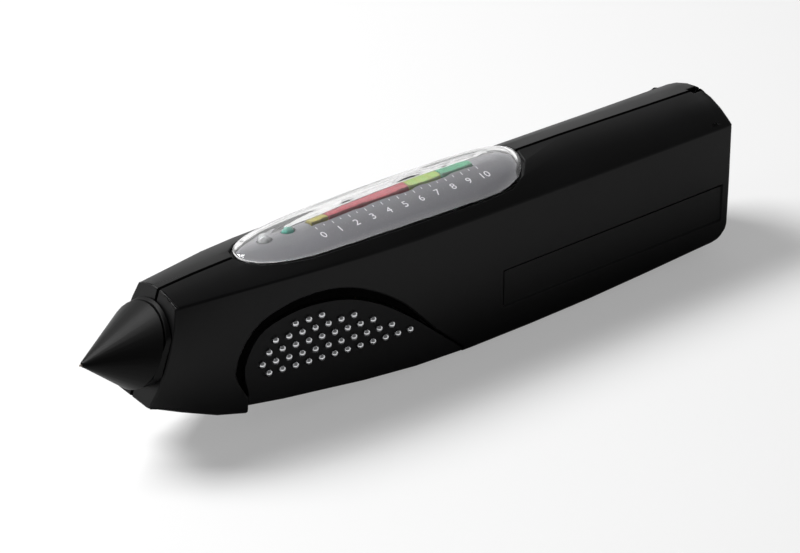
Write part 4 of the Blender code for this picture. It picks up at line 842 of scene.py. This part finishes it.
class TESTER_OT_stage(bpy.types.Operator):
    """Makes the floor, the studio light and the camera"""

    bl_idname = "tester.stage"
    bl_label = "Stage"

    AIM = Vector((-0.0012, 0.0, 0.0184))  # the point that the camera and the lamps face
    FLOOR_SIZE = 6.0
    FLOOR_GAP = 0.05 * MM  # under the lowest point of the object
    FLOOR_GLOW = 0.33  # share of plain white in what the camera sees of the floor
    LAMPS = (  # place, size in metres and power in watts
        ("key", (-0.45, 0.50, 0.85), 0.45, 15.0),
        ("front", (-0.80, 0.05, 0.35), 0.30, 0.45),
    )
    ROOM_AXIS = (-0.30, -0.40, 0.87)  # from the bright side of the room to the dark one
    ROOM_LIGHT, ROOM_DARK = -0.10, 0.55  # where along it the room starts and ends its fall
    ROOM_SHADE = 0.12  # what is left of white on the dark side
    SOFT_LIGHT = 0.45  # strength at which the room lights the object

    def execute(self, context):
        settings = context.scene.tester_stage
        lowest = CAD_BOX[0][2]
        bpy.ops.object.select_all(action="DESELECT")
        bpy.ops.mesh.primitive_plane_add(
            size=self.FLOOR_SIZE, location=(0.0, 0.0, lowest - self.FLOOR_GAP),
        )
        floor = context.object
        floor.name = "floor"
        floor.data.materials.append(self.studio_paper())
        for name, place, size, power in self.LAMPS:
            bpy.ops.object.select_all(action="DESELECT")
            bpy.ops.object.light_add(type="AREA", location=place)
            lamp = context.object
            lamp.name = f"{name}_light"
            lamp.data.shape = "SQUARE"
            lamp.data.size = size
            lamp.data.energy = power
            self.turn(lamp)
        self.room(context)
        view = Euler((math.pi / 2 - settings.elevation, 0.0, settings.azimuth)).to_matrix()
        back = view @ Vector((0.0, 0.0, 1.0))
        bpy.ops.object.camera_add(location=self.AIM + back * settings.distance)
        camera = context.object
        camera.data.sensor_width = 36.0
        camera.data.lens = settings.lens
        camera.data.clip_start = 0.01
        camera.data.clip_end = 20.0
        self.turn(camera)
        context.scene.camera = camera
        context.scene.view_settings.view_transform = "Standard"
        return {"FINISHED"}

    def turn(self, item):
        """Turns a lamp or the camera to the object."""
        item.rotation_euler = (self.AIM - item.location).to_track_quat("-Z", "Y").to_euler()

    def studio_paper(self):
        """White matt studio paper: pale to the camera, and it keeps the soft shadow."""
        made, tree, shader = finish(
            "studio_paper", "#f2f2f2", roughness=0.9, Specular_IOR_Level=0.1,
        )
        path = node(tree, "ShaderNodeLightPath")
        glow = node(tree, "ShaderNodeEmission", Color=linear("#ffffff"), Strength=1.0)
        seen = node(
            tree, "ShaderNodeMath", {"operation": "MULTIPLY"}, {0: path.outputs["Is Camera Ray"]},
        )
        seen.inputs[1].default_value = self.FLOOR_GLOW
        mix = node(
            tree, "ShaderNodeMixShader",
            links={0: seen.outputs[0], 1: shader.outputs[0], 2: glow.outputs[0]},
        )
        tree.links.new(mix.outputs[0], tree.nodes["Material Output"].inputs["Surface"])
        return made

    def room(self, context):
        """World: white to the camera, a shaded room to gloss and glass, softer on the object."""
        world = bpy.data.worlds.new("studio")
        context.scene.world = world
        world.use_nodes = True
        tree = world.node_tree
        path = node(tree, "ShaderNodeLightPath")
        seen = path.outputs["Is Camera Ray"]
        shown = seen
        for ray in ("Is Glossy Ray", "Is Transmission Ray"):
            shown = node(
                tree, "ShaderNodeMath", {"operation": "MAXIMUM"}, {0: shown, 1: path.outputs[ray]},
            ).outputs[0]
        strength = node(
            tree, "ShaderNodeMapRange", links={"Value": shown},
            To_Min=self.SOFT_LIGHT, To_Max=1.0,
        )
        # Bright at the horizon behind the object, dark overhead and before it.
        view = node(tree, "ShaderNodeTexCoord")
        toward = node(
            tree, "ShaderNodeVectorMath", {"operation": "DOT_PRODUCT"},
            {0: view.outputs["Generated"]},
        )
        toward.inputs[1].default_value = self.ROOM_AXIS
        shade = node(
            tree, "ShaderNodeMapRange", {"interpolation_type": "SMOOTHSTEP"},
            {"Value": toward.outputs["Value"]}, From_Min=self.ROOM_LIGHT, From_Max=self.ROOM_DARK,
            To_Min=1.0, To_Max=self.ROOM_SHADE,
        )
        colour = node(
            tree, "ShaderNodeMath", {"operation": "MAXIMUM"}, {0: shade.outputs["Result"], 1: seen},
        )
        background = tree.nodes["Background"]
        tree.links.new(colour.outputs[0], background.inputs["Color"])
        tree.links.new(strength.outputs["Result"], background.inputs["Strength"])


SETTINGS = {
    "tester_casing": CasingSettings,
    "tester_grips": GripSettings,
    "tester_probe": ProbeSettings,
    "tester_window": WindowSettings,
    "tester_print": PrintSettings,
    "tester_stage": StageSettings,
}
OPERATORS = (
    TESTER_OT_casing,
    TESTER_OT_nose,
    TESTER_OT_probe,
    TESTER_OT_grips,
    TESTER_OT_window,
    TESTER_OT_lights,
    TESTER_OT_print,
    TESTER_OT_fittings,
    TESTER_OT_inside,
    TESTER_OT_stage,
)


class TESTER_PT_panel(bpy.types.Panel):
    """Lists the pieces of the tester and their settings"""

    bl_idname = "TESTER_PT_panel"
    bl_label = "Diamond Tester"
    bl_space_type = "VIEW_3D"
    bl_region_type = "UI"
    bl_category = "Tester"

    def draw(self, context):
        for group, kind in SETTINGS.items():
            box = self.layout.box()
            for key in kind.__annotations__:
                box.prop(getattr(context.scene, group), key)
        for operator in OPERATORS:
            self.layout.operator(operator.bl_idname)


def register():
    for group, kind in SETTINGS.items():
        bpy.utils.register_class(kind)
        setattr(bpy.types.Scene, group, PointerProperty(type=kind))
    for kind in (*OPERATORS, TESTER_PT_panel):
        bpy.utils.register_class(kind)


def unregister():
    for kind in reversed((*OPERATORS, TESTER_PT_panel)):
        bpy.utils.unregister_class(kind)
    for group, kind in SETTINGS.items():
        delattr(bpy.types.Scene, group)
        bpy.utils.unregister_class(kind)


def main():
    register()
    for operator in OPERATORS:
        group, name = operator.bl_idname.split(".")
        getattr(getattr(bpy.ops, group), name)()


if __name__ == "__main__":
    main()
